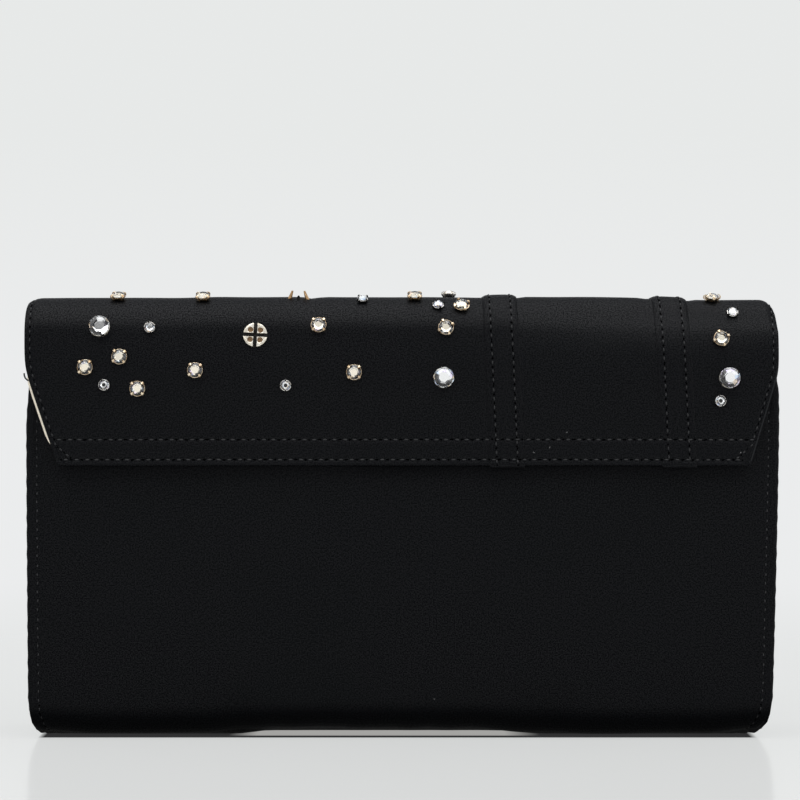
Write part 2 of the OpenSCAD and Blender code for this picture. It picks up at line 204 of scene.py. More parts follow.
# Side view of the flap's outside, from the seam at the back over the crest to the hem
flap_start = hinge.z + 0.2 * MM
flap_out = FLAP_GAP + WALL
roll_z = CREST - CREST_ROLL
back_roll = (half_depth(roll_z, CREST_ROLL), roll_z)
front_roll = (-half_depth(roll_z, CREST_ROLL - flap_out), roll_z)
roll_side = CREST_ROLL * cos(LEAN)
roll_edge = roll_z + CREST_ROLL * sin(LEAN)
flap_hem = (-half_depth(HEM, -flap_out), HEM)
flap_side = SideView()
flap_side.straight((half_depth(flap_start), flap_start), (back_roll[0] + roll_side, roll_edge), lean_deg)
flap_side.round(back_roll, CREST_ROLL, lean_deg, 90)
flap_side.straight((back_roll[0], CREST), (front_roll[0], CREST), 90)
CREST_FRONT = flap_side.length
flap_side.round(front_roll, CREST_ROLL, 90, 180 - lean_deg)
flap_side.straight((front_roll[0] - roll_side, roll_edge), flap_hem, 180 - lean_deg)
HEM_END = flap_side.length
BODY_END = body_side.length


def back_row(z):
    """Distance along the body's side view to a height on its back."""
    return BODY_END - (BACK_TOP - z) / cos(LEAN)


def band_middle(name, distance):
    """Middle of a band across the bag, which leans to the right as it goes down."""
    z = flap_side.at(distance)[1]
    return BAND_PLACES[name] - (z - HEM) * BAND_LEAN


# Softness: how far the cloth stands off the CAD's plain faces
EASE = sides(-0.2, 0.7)
TAPER = sides(1.9, 3.8)
TAPER_TOP = 110 * MM
SCALLOP = 0.1 * MM
CORNER_IN = sides(3.6, 6)
CORNER_UP = 15 * MM
TOP_IN = sides(1.1, 0.8)
TOP_START = sides(106, 118)
TOP_REACH = sides(22, 8)
BASE_LIFT = 1 * MM
MIDDLE_LIFT = 1.9 * MM
END_LIFT = sides(0.9, 1.3)
LIFT_REACH = 14 * MM
BODY_SWELL = 1.5 * MM
DENT = 1.3 * MM
FLAP_EASE = sides(0.05, 0.1)
FLAP_SWELL = 1 * MM
ROLL_DROP = 2.1 * MM
BAND_DIP = 0.45 * MM
CREST_LIFT = 0.4 * MM
RIGHT_DROOP = 0.9 * MM
CREST_NOTCH = 0.6 * MM
CREST_CORNER = sides(6, 5.5)
CREST_FALL = sides(2.5, 6)
HEM_INSET = sides(12, 10.2)
SLANT_TOP = {LEFT: CREST - 24.4 * MM, RIGHT: CREST - 25.6 * MM}
SLANT_EASE = sides(4, 3)
SEAM_GROOVE = 0.25 * MM
FLAP_GROOVE = 0.22 * MM
SNAP_Z = HEM + 14 * MM
SNAP_CALM = 14 * MM


def side_of(x):
    return RIGHT if x > 0 else LEFT


def rounding(depth):
    """How far a quarter of an ellipse has drawn in, for a share of its depth."""
    return 1 - sqrt(1 - clamp(depth) ** 2)


def body_half_width(x, z):
    """Half width of the body at height z. It has round lower corners, and draws in below and at the mouth."""
    side = side_of(x)
    corner = CORNER_IN[side] * rounding((CORNER_UP - z) / CORNER_UP)
    taper = TAPER[side] * clamp(1 - z / TAPER_TOP) ** 1.2
    scallop = SCALLOP * sin(2 * pi * z / (2 * PITCH))
    top = TOP_IN[side] * ramp(z, TOP_START[side], TOP_REACH[side])
    return HALF_WIDTH + EASE[side] - corner - taper - top + scallop


def front_lift(x, y, z):
    """How far the base's front edge curls up: most of all in the middle, and a little more at both ends."""
    middle = ramp(x, -58 * MM, 16 * MM) * ramp(x, 50 * MM, -24 * MM)
    middle *= 1 + 0.35 * uneven(x / (9 * MM), 0, 7.3)
    ends = END_LIFT[side_of(x)] * ramp(abs(x), 106 * MM, 14 * MM)
    lift = (BASE_LIFT + ends) * ramp(y, -7 * MM, -8 * MM)
    lift += MIDDLE_LIFT * middle * ramp(y, 4 * MM, -14 * MM)
    return lift * hill(z, 0, LIFT_REACH)


def stand_off(x, y, z, angle, out, lift):
    """A point that stands off a place on a side view, and is lifted from there."""
    return Vector((x, y + out * cos(angle), z + out * sin(angle) + lift))


def body_soft(x, y, z):
    """How far the body's cloth stands off and is lifted: swell, ripples, dents and the base's front edge."""
    inner = 1 - (x / HALF_WIDTH) ** 2
    swell = BODY_SWELL * inner * sin(pi * clamp(z / FRONT_TOP) ** 0.8)
    ripple = 0.7 * MM * uneven(x / (70 * MM), z / (60 * MM), y / (30 * MM))
    ripple += 0.18 * MM * uneven(x / (22 * MM), z / (30 * MM), 4 + y / (30 * MM))
    dents = hill(x, -56 * MM, 7 * MM) + 0.8 * hill(x, 50 * MM, 9 * MM)
    dents *= -DENT * hill(z, 5 * MM, 11 * MM)
    calm = 1 - hill(hypot(x, z - SNAP_Z), 0, SNAP_CALM)
    out = (swell + ripple * clamp(1.6 * inner)) * calm + dents * (1 if y < 0 else 0.5)
    if z < 0.5 * MM and abs(y) < base_turn:
        out = 0.0
    return out, front_lift(x, y, z)


def body_surface(height=0.0):
    """The body's cloth at a height over its outside: u across the bag, v along the side view."""
    def place(u, v):
        y, z, angle = body_side.at(v)
        x = u * body_half_width(u, z) / HALF_WIDTH
        out, lift = body_soft(x, y, z)
        out += height - SEAM_GROOVE * hill(abs(u), HALF_WIDTH - SEAM_ROW, 0.8 * MM)
        return stand_off(x, y, z, angle, out, lift)
    return place


def flap_share(x, v):
    """Share of the bag's width that the flap has: it is slanted in front after a soft bend."""
    side = side_of(x)
    y, z = flap_side.at(v)[:2]
    width = HALF_WIDTH + FLAP_EASE[side]
    if y < 0:
        down = SLANT_TOP[side] - z
        slope = HEM_INSET[side] / (SLANT_TOP[side] - HEM)
        width -= slope * (down + hypot(down, SLANT_EASE[side])) / 2
    return width / HALF_WIDTH


def flap_soft(x, v, angle):
    """How far the flap's cloth stands off and is lifted.

    It swells below the crest, its roll widens to the right, it dips beside the bands, and its ends droop.
    """
    side = side_of(x)
    below = v - CREST_FRONT
    upward = max(0.0, sin(angle))
    out = FLAP_SWELL * hill(below, 33 * MM, 14 * MM) * (1 - (x / HALF_WIDTH) ** 4)
    out -= (0.2 * MM + ROLL_DROP * ramp(x, 5 * MM, 100 * MM)) * hill(below, 13 * MM, 8 * MM)
    out += 0.35 * MM * uneven(x / (48 * MM), v / (34 * MM), 1.7)
    out += 0.12 * MM * uneven(x / (15 * MM), v / (13 * MM), 5.1)
    for name in BAND_PLACES:
        out -= BAND_DIP * upward * hill(abs(x - band_middle(name, v)), 6.9 * MM, 1.3 * MM)
    near_seam = ramp(v, 0, 6 * MM)
    out *= near_seam * (1 - ramp(v, HEM_END - 24 * MM, 6 * MM) * hill(x, 0, SNAP_CALM))
    lift = CREST_LIFT * (1 - ramp(x, -60 * MM, -22 * MM)) - RIGHT_DROOP * ramp(x, 72 * MM, 45 * MM)
    lift -= CREST_NOTCH * hill(x, -31 * MM, 2.5 * MM)
    lift -= CREST_FALL[side] * rounding((abs(x) - HALF_WIDTH) / CREST_CORNER[side] + 1)
    return out, lift * upward * near_seam


def flap_surface(height=0.0, peek=0.0):
    """The flap's cloth at a height over its outside. peek is how far its left slant shows past the satin."""
    def place(u, v):
        y, z, angle = flap_side.at(v)
        x = u * flap_share(u, v)
        if u < 0 and y < 0:
            shown = ramp(z, SLANT_TOP[LEFT] + 1 * MM, -6 * MM) * ramp(z, HEM + 4 * MM, 6 * MM)
            x += peek * shown * u / HALF_WIDTH
        groove = hill(abs(u), HALF_WIDTH - SIDE_ROW, 0.7 * MM)
        for row in HEM_ROWS:
            groove = max(groove, hill(v, HEM_END - row, 0.7 * MM))
        out, lift = flap_soft(x, v, angle)
        return stand_off(x, y, z, angle, out + height - FLAP_GROOVE * groove, lift)
    return place


# Modelling helpers
def pick(*objects):
    """Selects only these objects, and makes the last one active."""
    bpy.ops.object.select_all(action="DESELECT")
    for obj in objects:
        obj.select_set(True)
    bpy.context.view_layer.objects.active = objects[-1]


def added(shape, name, **settings):
    """A new object of a basic shape, with its place and turn put into the mesh."""
    bpy.ops.object.select_all(action="DESELECT")
    getattr(bpy.ops.mesh, f"primitive_{shape}_add")(**settings)
    obj = bpy.context.object
    obj.name = name
    obj.data.name = name
    bpy.ops.object.transform_apply(location=True, rotation=True, scale=True)
    return obj


@contextmanager
def editing(choice=None):
    """Edit mode on the active mesh, with all or none of it selected, or with the selection it has."""
    bpy.ops.object.mode_set(mode="EDIT")
    if choice:
        bpy.ops.mesh.select_all(action=choice)
    yield
    bpy.ops.object.mode_set(mode="OBJECT")


def harden(obj, kind, **settings):
    """Adds a modifier and applies it."""
    pick(obj)
    modifier = obj.modifiers.new(kind.lower(), kind)
    for key, value in settings.items():
        setattr(modifier, key, value)
    bpy.ops.object.modifier_apply(modifier=modifier.name)


def round_edges(obj, width):
    harden(obj, "BEVEL", width=width, segments=2, limit_method="ANGLE", angle_limit=radians(40))


def shade(obj, limit=50):
    """Shades an object smoothly, but for edges sharper than a limit in degrees."""
    pick(obj)
    bpy.ops.object.shade_smooth_by_angle(angle=radians(limit))


def joined(model, parts, limit=35):
    """Adds parts to a model, as one mesh."""
    pick(*parts, model)
    bpy.ops.object.join()
    shade(model, limit)
    return model


FINE_OFFSETS = (-1.5, -0.9, -0.4, 0, 0.4, 0.9, 1.5)
CLOSEST = 0.2 * MM


def steps(first, last, step, *fine):
    """Even places from first to last, with closer ones round each fine place."""
    count = max(1, round((last - first) / step))
    places = [first + (last - first) * i / count for i in range(count + 1)]
    for middle in fine:
        for offset in FINE_OFFSETS:
            place = middle + offset * MM
            if first < place < last:
                places.append(place)
    places.sort()
    kept = [places[0]]
    for place in places[1:-1]:
        if place - kept[-1] > CLOSEST and places[-1] - place > CLOSEST:
            kept.append(place)
    return kept + [places[-1]]


def cloth(name, columns, rows, place, thick=0.0, edge=0.0, turn_over=True):
    """A grid laid over a surface, then given its thickness inwards. Its UV map holds columns and rows."""
    wide, high = len(columns) - 1, len(rows) - 1
    obj = added("grid", name, x_subdivisions=wide, y_subdivisions=high, size=1)
    spots = []
    for vertex in obj.data.vertices:
        spot = (columns[round((vertex.co.x + 0.5) * wide)], rows[round((vertex.co.y + 0.5) * high)])
        spots.append(spot)
        vertex.co = place(*spot)
    uv = obj.data.uv_layers.active.data
    for loop in obj.data.loops:
        uv[loop.index].uv = spots[loop.vertex_index]
    if turn_over:
        with editing("SELECT"):
            bpy.ops.mesh.flip_normals()
    if thick:
        harden(obj, "SOLIDIFY", thickness=thick, offset=-1)
    if edge:
        round_edges(obj, edge)
    shade(obj)
    return obj


def scatter(name, model, matrices):
    """One mesh made of copies of a modelled shape, each in its own place."""
    work = bmesh.new()
    for matrix in matrices:
        copy = model.data.copy()
        copy.transform(matrix)
        work.from_mesh(copy)
        bpy.data.meshes.remove(copy)
    mesh = bpy.data.meshes.new(name)
    work.to_mesh(mesh)
    work.free()
    for material in model.data.materials:
        mesh.materials.append(material)
    return show(bpy.data.objects.new(name, mesh))


def paint(obj, *looks):
    for look in looks:
        obj.data.materials.append(look)


def discard(model):
    """Takes a model away once its copies are made."""
    mesh = model.data
    bpy.data.objects.remove(model)
    bpy.data.meshes.remove(mesh)


def settle(obj, look, slot, body, *nodes):
    """Gives a piece its material, body and the CAD nodes that it stands for. Its slot is not used.

    Without a material it keeps its own. Without a body its place is put into its mesh, and it is attached to
    no body.
    """
    if look:
        obj.data.materials.clear()
        paint(obj, look)
    if nodes:
        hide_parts(*nodes)
    if body:
        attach(obj, body)
    else:
        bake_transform(obj)


def upright(surface, u, v, along, lift=0.0):
    """A frame on a surface: X along a direction of (u, v), Z outward."""
    reach = 0.3 * MM
    spot = surface(u, v)
    across = surface(u + reach, v) - surface(u - reach, v)
    down = surface(u, v + reach) - surface(u, v - reach)
    out = down.cross(across).normalized()
    ahead = (across * along[0] + down * along[1]).normalized()
    side = out.cross(ahead).normalized()
    ahead = side.cross(out)
    stance = Matrix((ahead, side, out)).transposed().to_4x4()
    stance.translation = spot + out * lift
    return stance


def seam(surface, corners, pitch, lift):
    """Places for a row of stitches along a line on a surface, drawn through corners of (u, v)."""
    trail = []
    for start, end in zip(corners, corners[1:]):
        along = (end[0] - start[0], end[1] - start[1])
        count = max(2, round(hypot(*along) / SEAM_WALK))
        for i in range(count):
            share = i / count
            trail.append((between(start[0], end[0], share), between(start[1], end[1], share), along))
    places = []
    walked = pitch / 2
    last = surface(trail[0][0], trail[0][1])
    for u, v, along in trail:
        spot = surface(u, v)
        walked += (spot - last).length
        last = spot
        if walked >= pitch:
            walked -= pitch
            skew = Matrix.Rotation(chance.uniform(-STITCH_SKEW, STITCH_SKEW), 4, "Z")
            places.append(upright(surface, u, v, along, lift) @ skew)
    return places


# Shader nodes
def feed(socket, value):
    """Links a signal or a node's first output to an input, or sets the input to a plain value."""
    if isinstance(value, bpy.types.Node):
        value = Signal(value)
    if isinstance(value, Signal):
        socket.id_data.links.new(value.socket, socket)
    elif socket.type == "RGBA":
        socket.default_value = (*value, 1.0)
    else:
        socket.default_value = value


def add_node(tree, kind, *feeds, **values):
    """A node with its first inputs fed in order. Values with a capital feed inputs, others are settings."""
    node = tree.nodes.new("ShaderNode" + kind)
    for label, value in values.items():
        if label[0].isupper():
            feed(node.inputs[label.replace("_", " ")], value)
        else:
            setattr(node, label, value)
    for socket, value in zip(node.inputs, feeds):
        feed(socket, value)
    return node


class Signal:
    """One output of a shader node, which further nodes work on. It adds and multiplies like a number."""

    def __init__(self, node, output=0):
        self.socket = node.outputs[output]

    def through(self, kind, *feeds, output=0, **values):
        return Signal(add_node(self.socket.id_data, kind, *feeds, **values), output)

    def math(self, operation, *others):
        return self.through("Math", self, *others, operation=operation)

    def __add__(self, other):
        return self.math("ADD", other)

    def __sub__(self, other):
        return self.math("SUBTRACT", other)

    def __rsub__(self, other):
        return self.through("Math", other, self, operation="SUBTRACT")

    def __mul__(self, other):
        return self.math("MULTIPLY", other)

    def __abs__(self):
        return self.math("ABSOLUTE")

    def length(self):
        return self.through("VectorMath", self, output="Value", operation="LENGTH")

    def towards(self, aim):
        """How far a direction points towards an aim."""
        return self.through("VectorMath", self, aim, output="Value", operation="DOT_PRODUCT")

    def parts(self):
        """The x, y and z of a vector."""
        x = self.through("SeparateXYZ", self)
        return x, Signal(x.socket.node, 1), Signal(x.socket.node, 2)

    def noise(self, scale, detail, roughness=0.55):
        """Noise at a place. A scale of three numbers stretches it."""
        spot = self
        if isinstance(scale, tuple):
            spot = self.through("VectorMath", self, scale, operation="MULTIPLY")
            scale = 1.0
        return spot.through(
            "TexNoise", output="Fac", Vector=spot, Scale=scale, Detail=detail, Roughness=roughness)

    def ranged(self, low, high, to_low=0.0, to_high=1.0):
        """Maps a value from one range to another, kept inside it."""
        return self.through("MapRange", self, low, high, to_low, to_high)

    def mix(self, first, second):
        """A colour that goes from the first to the second as this value goes from 0 to 1."""
        node = add_node(self.socket.id_data, "Mix", self, data_type="RGBA")
        feed(node.inputs[6], first)
        feed(node.inputs[7], second)
        return Signal(node, 2)


# Shader effects shared by several materials
def effect(name, numbers, results):
    """A node group with a Map, numbers and results. Returns its inputs as signals, and its output sockets."""
    tree = bpy.data.node_groups.new(name, "ShaderNodeTree")
    tree.interface.new_socket("Map", in_out="INPUT", socket_type="NodeSocketVector")
    for label in numbers:
        tree.interface.new_socket(label, in_out="INPUT", socket_type="NodeSocketFloat")
    for label in results:
        tree.interface.new_socket(label, in_out="OUTPUT", socket_type="NodeSocketFloat")
    given = tree.nodes.new("NodeGroupInput")
    signals = [Signal(given, label) for label in ("Map", *numbers)]
    return signals, tree.nodes.new("NodeGroupOutput").inputs


def weave_effect():
    """Crossing threads: each thread is a ridge, and every Float-th crossing is bound down."""
    (spot, threads, float_length), made = effect("weave", ("Threads", "Float"), ("Height", "Shade"))
    across, along = spot.parts()[:2]
    x = across * threads
    y = along * threads
    ridge = abs((y * pi).math("SINE"))
    cross = abs((x * pi).math("SINE"))
    count = x.math("FLOOR") * 3.0 + y.math("FLOOR")
    bound = count.math("FLOORED_MODULO", float_length).math("LESS_THAN", 0.9)
    slub = spot.noise((500.0, 2600.0, 1.0), 1.0)
    grain = spot.noise((2100.0, 2200.0, 1.0), 1.0, 0.6)
    feed(made["Height"], ridge * (1.0 - bound) + cross * bound + (slub * 0.5 + grain * 3.5))
    feed(made["Shade"], (slub * 0.12 + grain * 0.88).ranged(0.4, 0.6))


def lint_effect():
    """Sparse pale specks of dust and lint."""
    (spot, amount), made = effect("lint", ("Amount",), ("Mask",))
    warp = spot.noise(900.0, 2.0)
    shift = (0.0006, 0.0006, 0.0006)
    shifted = warp.through("VectorMath", warp, shift, spot, operation="MULTIPLY_ADD")
    distance = shifted.through("TexVoronoi", output="Distance", Vector=shifted, Scale=95.0)
    tone = distance.through("SeparateColor", Signal(distance.socket.node, "Color"))
    feed(made["Mask"], distance.ranged(0.02, 0.034, 1.0, 0.0) * tone.math("LESS_THAN", amount))


def handled_effect():
    """Broad, slow changes where a surface has been handled."""
    (spot, scale), made = effect("handled", ("Scale",), ("Value",))
    feed(made["Value"], spot.noise(scale, 4.0, 0.5).ranged(0.32, 0.68))


class Look:
    """A material with a principled shader, and short ways to feed it."""

    def __init__(self, name, roughness, **constants):
        self.material = bpy.data.materials.new(name)
        self.material.use_nodes = True
        self.tree = self.material.node_tree
        self.shader = self.tree.nodes["Principled BSDF"]
        self.give(Roughness=roughness, **constants)

    def give(self, **values):
        for label, value in values.items():
            feed(self.shader.inputs[label.replace("_", " ")], value)

    def coordinates(self, kind):
        return Signal(add_node(self.tree, "TexCoord"), kind)

    def effect(self, name, spot, **numbers):
        """One of the shared effects, with its own numbers. Returns its results by label."""
        node = add_node(self.tree, "Group", node_tree=bpy.data.node_groups[name], Map=spot, **numbers)
        return {socket.name: Signal(node, socket.name) for socket in node.outputs}

    def bump(self, height, strength, distance):
        self.give(Normal=add_node(self.tree, "Bump", Strength=strength, Distance=distance, Height=height))


SATIN_SHINE = (0.04, 0.26)
SATIN_DEEP, SATIN_PALE = (0.0006, 0.0008, 0.0013), (0.0009, 0.0012, 0.0019)
SATIN_WORN = (0.0012, 0.0014, 0.002)
LINT_TONE = (0.05, 0.05, 0.05)
CREAM_DEEP, CREAM_PALE, CREAM_WORN = (0.78, 0.71, 0.58), (0.9, 0.84, 0.72), (0.7, 0.6, 0.46)


def satin_look():
    look = Look("black_satin", 0.5, Specular_IOR_Level=0.016, Coat_Roughness=0.42)
    uv = look.coordinates("UV")
    weave = look.effect("weave", uv, Threads=3600.0, Float=5.0)
    worn = look.effect("handled", look.coordinates("Object"), Scale=26.0)["Value"]
    lint = look.effect("lint", uv, Amount=0.16)["Mask"]
    woven_tone = weave["Shade"].mix(SATIN_DEEP, SATIN_PALE)
    look.give(
        Base_Color=lint.mix((worn * 0.2).mix(woven_tone, SATIN_WORN), LINT_TONE),
        Roughness=weave["Shade"].ranged(0.0, 1.0, 0.56, 0.36) + worn.ranged(0.0, 1.0, -0.03, 0.03),
        Coat_Weight=weave["Shade"].ranged(0.0, 1.0, *SATIN_SHINE))
    look.bump(weave["Height"], 0.5, 0.0001)
    return look.material


def lining_look():
    look = Look("cream_lining", 0.75, Specular_IOR_Level=0.25, Sheen_Weight=0.1)
    weave = look.effect("weave", look.coordinates("UV"), Threads=2200.0, Float=2.0)
    worn = look.effect("handled", look.coordinates("Object"), Scale=20.0)["Value"]
    woven_tone = weave["Shade"].mix(CREAM_DEEP, CREAM_PALE)
    look.give(Base_Color=(worn * 0.3).mix(woven_tone, CREAM_WORN))
    look.bump(weave["Height"], 0.5, 0.00015)
    return look.material


def metal_look(name, bright, dull, roughness):
    """Plated metal with fine scratches and a film where it has tarnished."""
    look = Look(name, roughness, Metallic=1.0)
    spot = look.coordinates("Object")
    film = look.effect("handled", spot, Scale=900.0)["Value"]
    look.give(Base_Color=film.mix(bright, dull), Roughness=film.ranged(0.0, 1.0, roughness, roughness + 0.18))
    look.bump(spot.noise((9000.0, 900.0, 900.0), 2.0), 0.15, 0.00002)
    return look.material


def mottled_look(name, roughness, grain, deep, pale, bump=None, **constants):
    """A material whose tone changes with a noise of its own scale and detail, which may also bump it."""
    look = Look(name, roughness, **constants)
    change = look.coordinates("Object").noise(*grain)
    look.give(Base_Color=change.mix(deep, pale))
    if bump:
        look.bump(change, *bump)
    return look.material


def plain_look(name, tone):
    """A dull material with a slight change of tone."""
    pale = tuple(1.3 * part for part in tone)
    return mottled_look(name, 1.0, (3000.0, 2.0), tone, pale, Specular_IOR_Level=0.0)


def faceted_look(name, roughness, **constants):
    """A material that takes the tint of each facet."""
    look = Look(name, roughness, **constants)
    # The facet tint holds the stone's pale tone, painted fire and painted shade.
    look.give(Base_Color=Signal(add_node(look.tree, "Attribute", attribute_name="fire"), "Color"))
    return look.material


weave_effect()
lint_effect()
handled_effect()
satin = satin_look()
lining = lining_look()
thread = mottled_look(
    "black_thread", 0.34, (2600.0, 2.0), (0.005, 0.005, 0.0055), (0.016, 0.016, 0.0175), (0.4, 0.0001),
    Specular_IOR_Level=0.35)
# Needle holes are dark cones: painted shade in the holes.
painted_hole_shade = plain_look("needle_hole", (0.0005, 0.0005, 0.0006))
pale_lint = plain_look("pale_lint", (0.2, 0.2, 0.2))
# A pale cord along the flap's right slant: painted highlight, where light catches the turned edge.
painted_edge_highlight = plain_look("painted_edge_highlight", (0.013, 0.0135, 0.0145))
gilt = metal_look("pale_gilt", (0.88, 0.76, 0.58), (0.44, 0.29, 0.15), 0.2)
brown_gilt = metal_look("brown_gilt", (0.62, 0.42, 0.24), (0.26, 0.15, 0.07), 0.3)
nickel = metal_look("bright_nickel", (0.82, 0.81, 0.78), (0.5, 0.47, 0.42), 0.2)
# Near-black metal: real tarnish in the discs' channels, and painted shade on the bare plate and on stone
# backs.
tarnish_and_painted_shade = metal_look("dark_tarnish_and_painted_shade", (0.03, 0.029, 0.028), (0.012, 0.011, 0.01), 0.5)
worn_plate = metal_look("worn_plate", (0.92, 0.88, 0.78), (0.6, 0.54, 0.43), 0.3)
magnet = mottled_look(
    "bare_ferrite", 0.7, (4000.0, 4.0), (0.02, 0.02, 0.022), (0.06, 0.06, 0.065), (0.4, 0.0001), Metallic=0.4)
glue = mottled_look(
    "old_glue", 0.35, (1500.0, 3.0), (0.06, 0.028, 0.008), (0.26, 0.15, 0.06), (0.5, 0.0002),
    Specular_IOR_Level=0.5)
crystal = faceted_look("cut_crystal", 0.0, Transmission_Weight=1.0, IOR=1.6)
foil = faceted_look("silver_foil", 0.06, Metallic=1.0)


# Body: one wrap of satin from the front round the base to the back, its lining and the strips at the mouth
INSIDE = HALF_WIDTH - SEAM - SATIN - LINING


def make_body():
    seam_row = HALF_WIDTH - SEAM_ROW
    columns = steps(-HALF_WIDTH, HALF_WIDTH, 4 * MM, -seam_row, seam_row)
    shell = cloth("BodySatin", columns, steps(0, BODY_END, 2.5 * MM), body_surface(), SHELL, 0.7 * MM)
    settle(shell, satin, "satin", "bag_body", "body_cover", "body_interlining")
    rows = steps(FACING, BODY_END - FACING, 3 * MM)
    inner = cloth("BodyLining", steps(-INSIDE, INSIDE, 4 * MM), rows, body_surface(-SHELL), LINING)
    settle(inner, lining, "lining", "bag_body", "body_lining")
    facing_end = FACING + 1.5 * MM
    under = -SHELL - 0.25 * MM
    tape_reach = HALF_WIDTH - 0.8 * MM
    strips = (
        ("FrontFacing", "front_facing", 0.3 * MM, facing_end, INSIDE, under),
        ("BackFacing", "back_facing", BODY_END - facing_end, BODY_END - 0.3 * MM, INSIDE, under),
        ("SeamTape", "seam_tape", BODY_END - 9 * MM, BODY_END + 1.2 * MM, tape_reach, -WALL - 0.35 * MM))
    for name, node, first, last, reach, height in strips:
        columns = steps(-reach, reach, 4 * MM)
        strip = cloth(name, columns, steps(first, last, 2 * MM), body_surface(height), LINING, 0.2 * MM)
        settle(strip, satin, "satin", "bag_body", node)


def side_depth(z, inset):
    """Half depth of the space between the front and the back, with the rounded bottom."""
    if z >= roll_top:
        return half_depth(z, inset)
    return base_turn + sqrt(max(0.0, (BASE_ROLL - inset) ** 2 - (BASE_ROLL - z) ** 2))


def gusset_surface(side, face, inset):
    """A side panel that folds in towards the mouth: u from front to back, v from base to mouth."""
    def place(u, v):
        top = between(FRONT_TOP, BACK_TOP, (u + 1) / 2) - SATIN
        z = between(inset, top, v)
        open_share = clamp((z - FOLD_START) / (hinge.z - FOLD_START))
        sink = FOLD_IN * open_share ** 1.15 * (1 - abs(u)) ** 1.25
        puff = 1.3 * MM * (1 - u * u) * sin(pi * v) * (1 - open_share)
        x = min(face, body_half_width(side, z) - (HALF_WIDTH - face) * 0.7) - sink + puff
        x += 0.4 * MM * uneven(u * 3, z / (22 * MM), side * 3.0) * (1 - u * u)
        y = u * side_depth(z, inset)
        return Vector((side * x, y, z + front_lift(side * x, y, z)))
    return place


def make_gusset(side, label):
    """Satin side panel with its rim turned out along the seam, and the lining behind it."""
    across = [i / 16 - 1 for i in range(33)]
    up = [i / 40 for i in range(41)]
    place = gusset_surface(side, HALF_WIDTH - SEAM, 1.1 * MM)
    panel = cloth(label + "Gusset", across, up, place, turn_over=side < 0)
    with editing("DESELECT"):
        bpy.ops.mesh.select_mode(type="EDGE")
    count = len(across)
    for edge in panel.data.edges:
        ends = edge.vertices
        front = all(i % count == 0 for i in ends)
        back = all(i % count == count - 1 for i in ends)
        base = all(i < count for i in ends)
        edge.select = front or back or base
        for i in ends:
            panel.data.vertices[i].select = panel.data.vertices[i].select or edge.select
    old = len(panel.data.vertices)
    with editing():
        bpy.ops.mesh.extrude_region_move(TRANSFORM_OT_translate={"value": (side * 3 * MM, 0, 0)})
    for vertex in panel.data.vertices[old:]:
        vertex.co.x = side * (body_half_width(side, vertex.co.z) - 0.3 * MM)
    with editing("SELECT"):
        bpy.ops.mesh.normals_make_consistent(inside=False)
    middle = panel.data.polygons[len(panel.data.polygons) // 3]
    if middle.normal.x * side < 0:
        with editing():
            bpy.ops.mesh.flip_normals()
    harden(panel, "SOLIDIFY", thickness=0.9 * MM, offset=-1)
    shade(panel)
    settle(panel, satin, "satin", "bag_body", label.lower() + "_gusset")
    place = gusset_surface(side, HALF_WIDTH - SEAM - SATIN, SHELL)
    inner = cloth(label + "GussetLining", across, up, place, LINING, turn_over=side < 0)
    settle(inner, lining, "lining", "bag_body", label.lower() + "_gusset_lining")


def make_pocket():
    """Slip pocket on the back wall, a little open at its mouth, with a satin binding."""
    low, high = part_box("pocket_panel")
    tall = high.z - low.z
    binding = 5 * MM

    def bowed(height):
        wall = body_surface(height)

        def place(u, v):
            gap = 1.6 * MM * (1 - (u / high.x) ** 2) * ramp(v, 0, tall)
            return wall(u, back_row(low.z + v)) - Vector((0, gap, 0))
        return place
    columns = steps(low.x, high.x, 5 * MM)
    rows = steps(0, tall, 4 * MM)
    panel = cloth("PocketPanel", columns, rows, bowed(-WALL - 0.1 * MM), LINING, 0.15 * MM)
    settle(panel, lining, "lining", "bag_body", "pocket_panel")
    rows = steps(tall - binding, tall + LINING, 1.5 * MM)
    strip = cloth("PocketBinding", columns, rows, bowed(-WALL - LINING), 2 * LINING, 0.3 * MM)
    settle(strip, satin, "satin", "bag_body", "pocket_binding")


def make_base_board():
    """A covered card on the floor of the compartment, which follows the base's lifted front."""
    low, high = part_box("base_board")
    reach = body_half_width(RIGHT, low.z) - SEAM - 1.5 * MM

    def place(u, v):
        return Vector((u, v, high.z + front_lift(u, v, 0)))
    columns = steps(-reach, reach, 5 * MM)
    rows = steps(low.y, high.y, 2.5 * MM)
    board = cloth("BaseBoard", columns, rows, place, high.z - low.z, 0.5 * MM, turn_over=False)
    settle(board, lining, "board", "bag_body", "base_board")


# Flap: satin over interlining, and its lining, which shows past the left slant
LINING_PEEK = 1.7 * MM


def make_flap():
    edge, corner = HALF_WIDTH - SIDE_ROW, HALF_WIDTH - 5 * MM
    columns = steps(-HALF_WIDTH, HALF_WIDTH, 3 * MM, -edge, edge, -corner, corner)
    rows = steps(0, HEM_END, 1.5 * MM, *(HEM_END - row for row in HEM_ROWS))
    shell = cloth("FlapSatin", columns, rows, flap_surface(), SHELL, 0.7 * MM)
    settle(shell, satin, "satin", None, "flap_cover", "flap_interlining")
    inner_edge = HALF_WIDTH - 0.8 * MM
    columns = steps(-inner_edge, inner_edge, 5 * MM, -corner, corner)
    rows = steps(0, HEM_END - 0.4 * MM, 2 * MM)
    inner = cloth("FlapLining", columns, rows, flap_surface(-SHELL, LINING_PEEK), LINING, 0.15 * MM)
    settle(inner, lining, "lining", None, "flap_lining")


def band_rise(u, v):
    """Height of a band's face over the flap, at u from its middle. It stands proudest on the crest."""
    upward = max(0.0, sin(flap_side.at(v)[2]))
    edge = ramp(abs(u), BAND_WIDTH / 2 - 1.8 * MM, 1.8 * MM)
    return (0.4 * MM + 0.45 * MM * upward) * (1 - 0.6 * edge)


